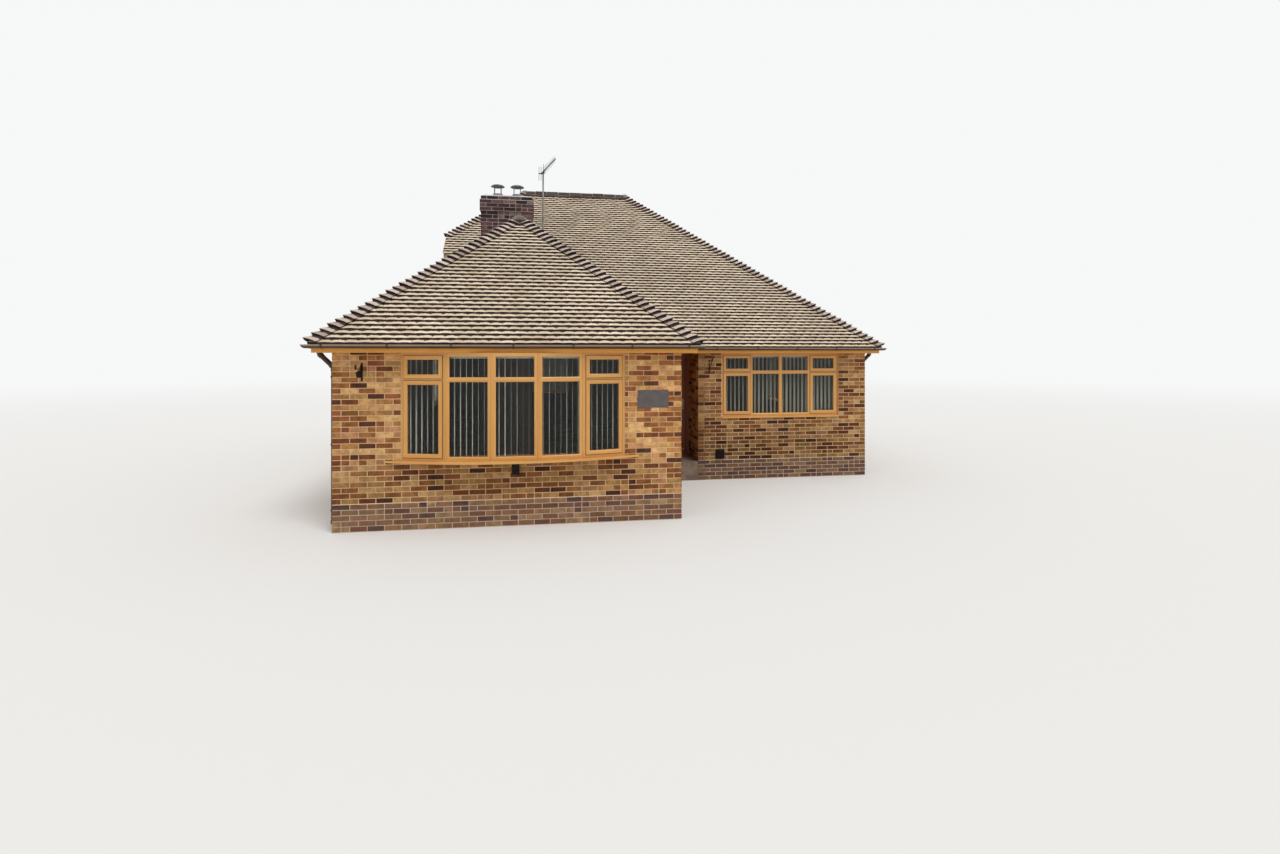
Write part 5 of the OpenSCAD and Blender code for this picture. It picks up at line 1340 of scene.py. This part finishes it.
def block_faces(low, high):
    """The four faces of an upright block: left corner, direction, outward direction, length."""
    (x0, y0), (x1, y1) = low, high
    return [((x0, y0), (1, 0), (0, -1), x1 - x0), ((x1, y0), (0, 1), (1, 0), y1 - y0),
            ((x1, y1), (-1, 0), (0, 1), x1 - x0), ((x0, y1), (0, -1), (-1, 0), y1 - y0)]


def grown(out):
    """The stack's two plan corners, moved outwards."""
    return (stack_low[0] - out, stack_low[1] - out), (stack_high[0] + out, stack_high[1] + out)


stack_parts = []
for first, last, out in ((STACK_COURSES, OVERSAIL_FROM, 0.0), (OVERSAIL_FROM, OVERSAIL_TO, OVERSAIL),
                         (OVERSAIL_TO, 0, 0.0)):
    for number, (corner, along, outwards, length) in enumerate(block_faces(*grown(out))):
        bricks = bond(length, (first - last) * COURSE, number + first, STACK_SNAPPED)
        bricks[:, 2:4] += stack_top - first * COURSE
        stack_parts.append((*brick_solids(bricks, corner, along, outwards),
                            *np.repeat(bricks[:, 4:].T, BRICK_FACES, axis=1)))
points, faces, tones, shades = joined(stack_parts)
make_piece("chimney_bricks", points, faces, stack_brick, "chimney_brick",
           face_values={"tone": tones, "shade": shades})

# Sheet lead flashings close the roof round the stack. They are let into its joints in steps down the slope,
# and a level strip runs along its left and right sides.

LEAD_T = 0.003
LEAD_LAP = 0.004
LEAD_BITE = 0.002
LEAD_STEPS = 8
LEAD_UNDER = 0.02
LEAD_OVER = 0.06
STRIP_ENDS = 0.008
STRIP_LEVELS = (-0.03, 0.13)
sheet_lead = worn("sheet_lead", (7.0, 60.0), (128, 130, 134), (104, 106, 110), 0.6, 0.002, 0.4, Metallic=0.35)


def roof_at(x):
    """Height of the wing's roof over a place x."""
    return up_at(min(x - x_eave_left, x_eave_wing - x))


flashings = []
edges = np.linspace(stack_low[0], stack_high[0], LEAD_STEPS + 1)
for a, b in zip(edges[:-1], edges[1:]):
    low = min(roof_at(a), roof_at(b)) - LEAD_UNDER
    over = stack_top - max(roof_at(a), roof_at(b)) - LEAD_OVER
    step = stack_top - math.floor(over / COURSE) * COURSE
    for y0, y1 in ((stack_low[1] - PROUD - 2 * LEAD_T, stack_low[1] - PROUD - LEAD_T + LEAD_BITE),
                   (stack_high[1] + PROUD + LEAD_T - LEAD_BITE, stack_high[1] + PROUD + 2 * LEAD_T)):
        flashings.append(slab((a - LEAD_LAP, y0, low), (b + LEAD_LAP, y1, step)))
for x, sign in ((stack_low[0], -1), (stack_high[0], 1)):
    near, far = x + sign * PROUD, x + sign * (PROUD + 2 * LEAD_T)
    foot, head = (roof_at(x) + level for level in STRIP_LEVELS)
    flashings.append(slab((min(near, far), stack_low[1] - STRIP_ENDS, foot),
                          (max(near, far), stack_high[1] + STRIP_ENDS, head)))
make_piece("chimney_flashings", *gathered(flashings), sheet_lead, "cowl_metal")

# A thin cement ledge weathers the top of the oversailing courses, and the flaunching over it holds two steel
# cowls. The aerial's mast stands on brackets at the stack, with its head in another alloy.

LEDGE_EDGE = 0.004
LEDGE_LEVELS = (-0.004, 0.009)
pale_cement = worn("pale_cement", (6.0, 110.0), (202, 192, 190), (178, 168, 164), 0.95, 0.002, 0.6)
dress(pale_cement, "chimney_flaunching")
ledge_low, ledge_high = grown(OVERSAIL + PROUD)
ledge_foot, ledge_top = (stack_top - COURSE + level for level in LEDGE_LEVELS)
ledge = slab((*ledge_low, ledge_foot), (*ledge_high, ledge_top), LEDGE_EDGE)
make_piece("chimney_ledge", *ledge, pale_cement, "concrete")
dress(worn("weathered_steel", (9.0, 80.0), (134, 142, 148), (104, 112, 118), 0.5, 0.001, 0.4, Metallic=0.6),
      "chimney_cowls")
for name, bright, dull in (("aerial_mast", (152, 150, 148), (126, 124, 124)),
                           ("aerial_head", (96, 98, 102), (74, 76, 80))):
    dress(worn(name + "_alloy", (12.0, 150.0), bright, dull, 0.55, 0.0005, 0.3, Metallic=0.3), name)

# Small fixtures: a lantern on the left pier, a bracket for a hanging basket, a black ventilator, the bow's
# bracket, and a bare slate plate.

black_iron = worn("black_iron", (14.0, 120.0), (15, 9, 7), (26, 17, 13), 0.62, 0.0006, 0.4,
                  Specular_IOR_Level=0.2)
dress(black_iron, "wall_lantern", "basket_bracket", "wall_vent", "bow_bracket")
dress(worn("split_slate", (9.0, 70.0), (90, 83, 81), (80, 74, 73), 0.6, 0.002, 0.6), "name_plate")
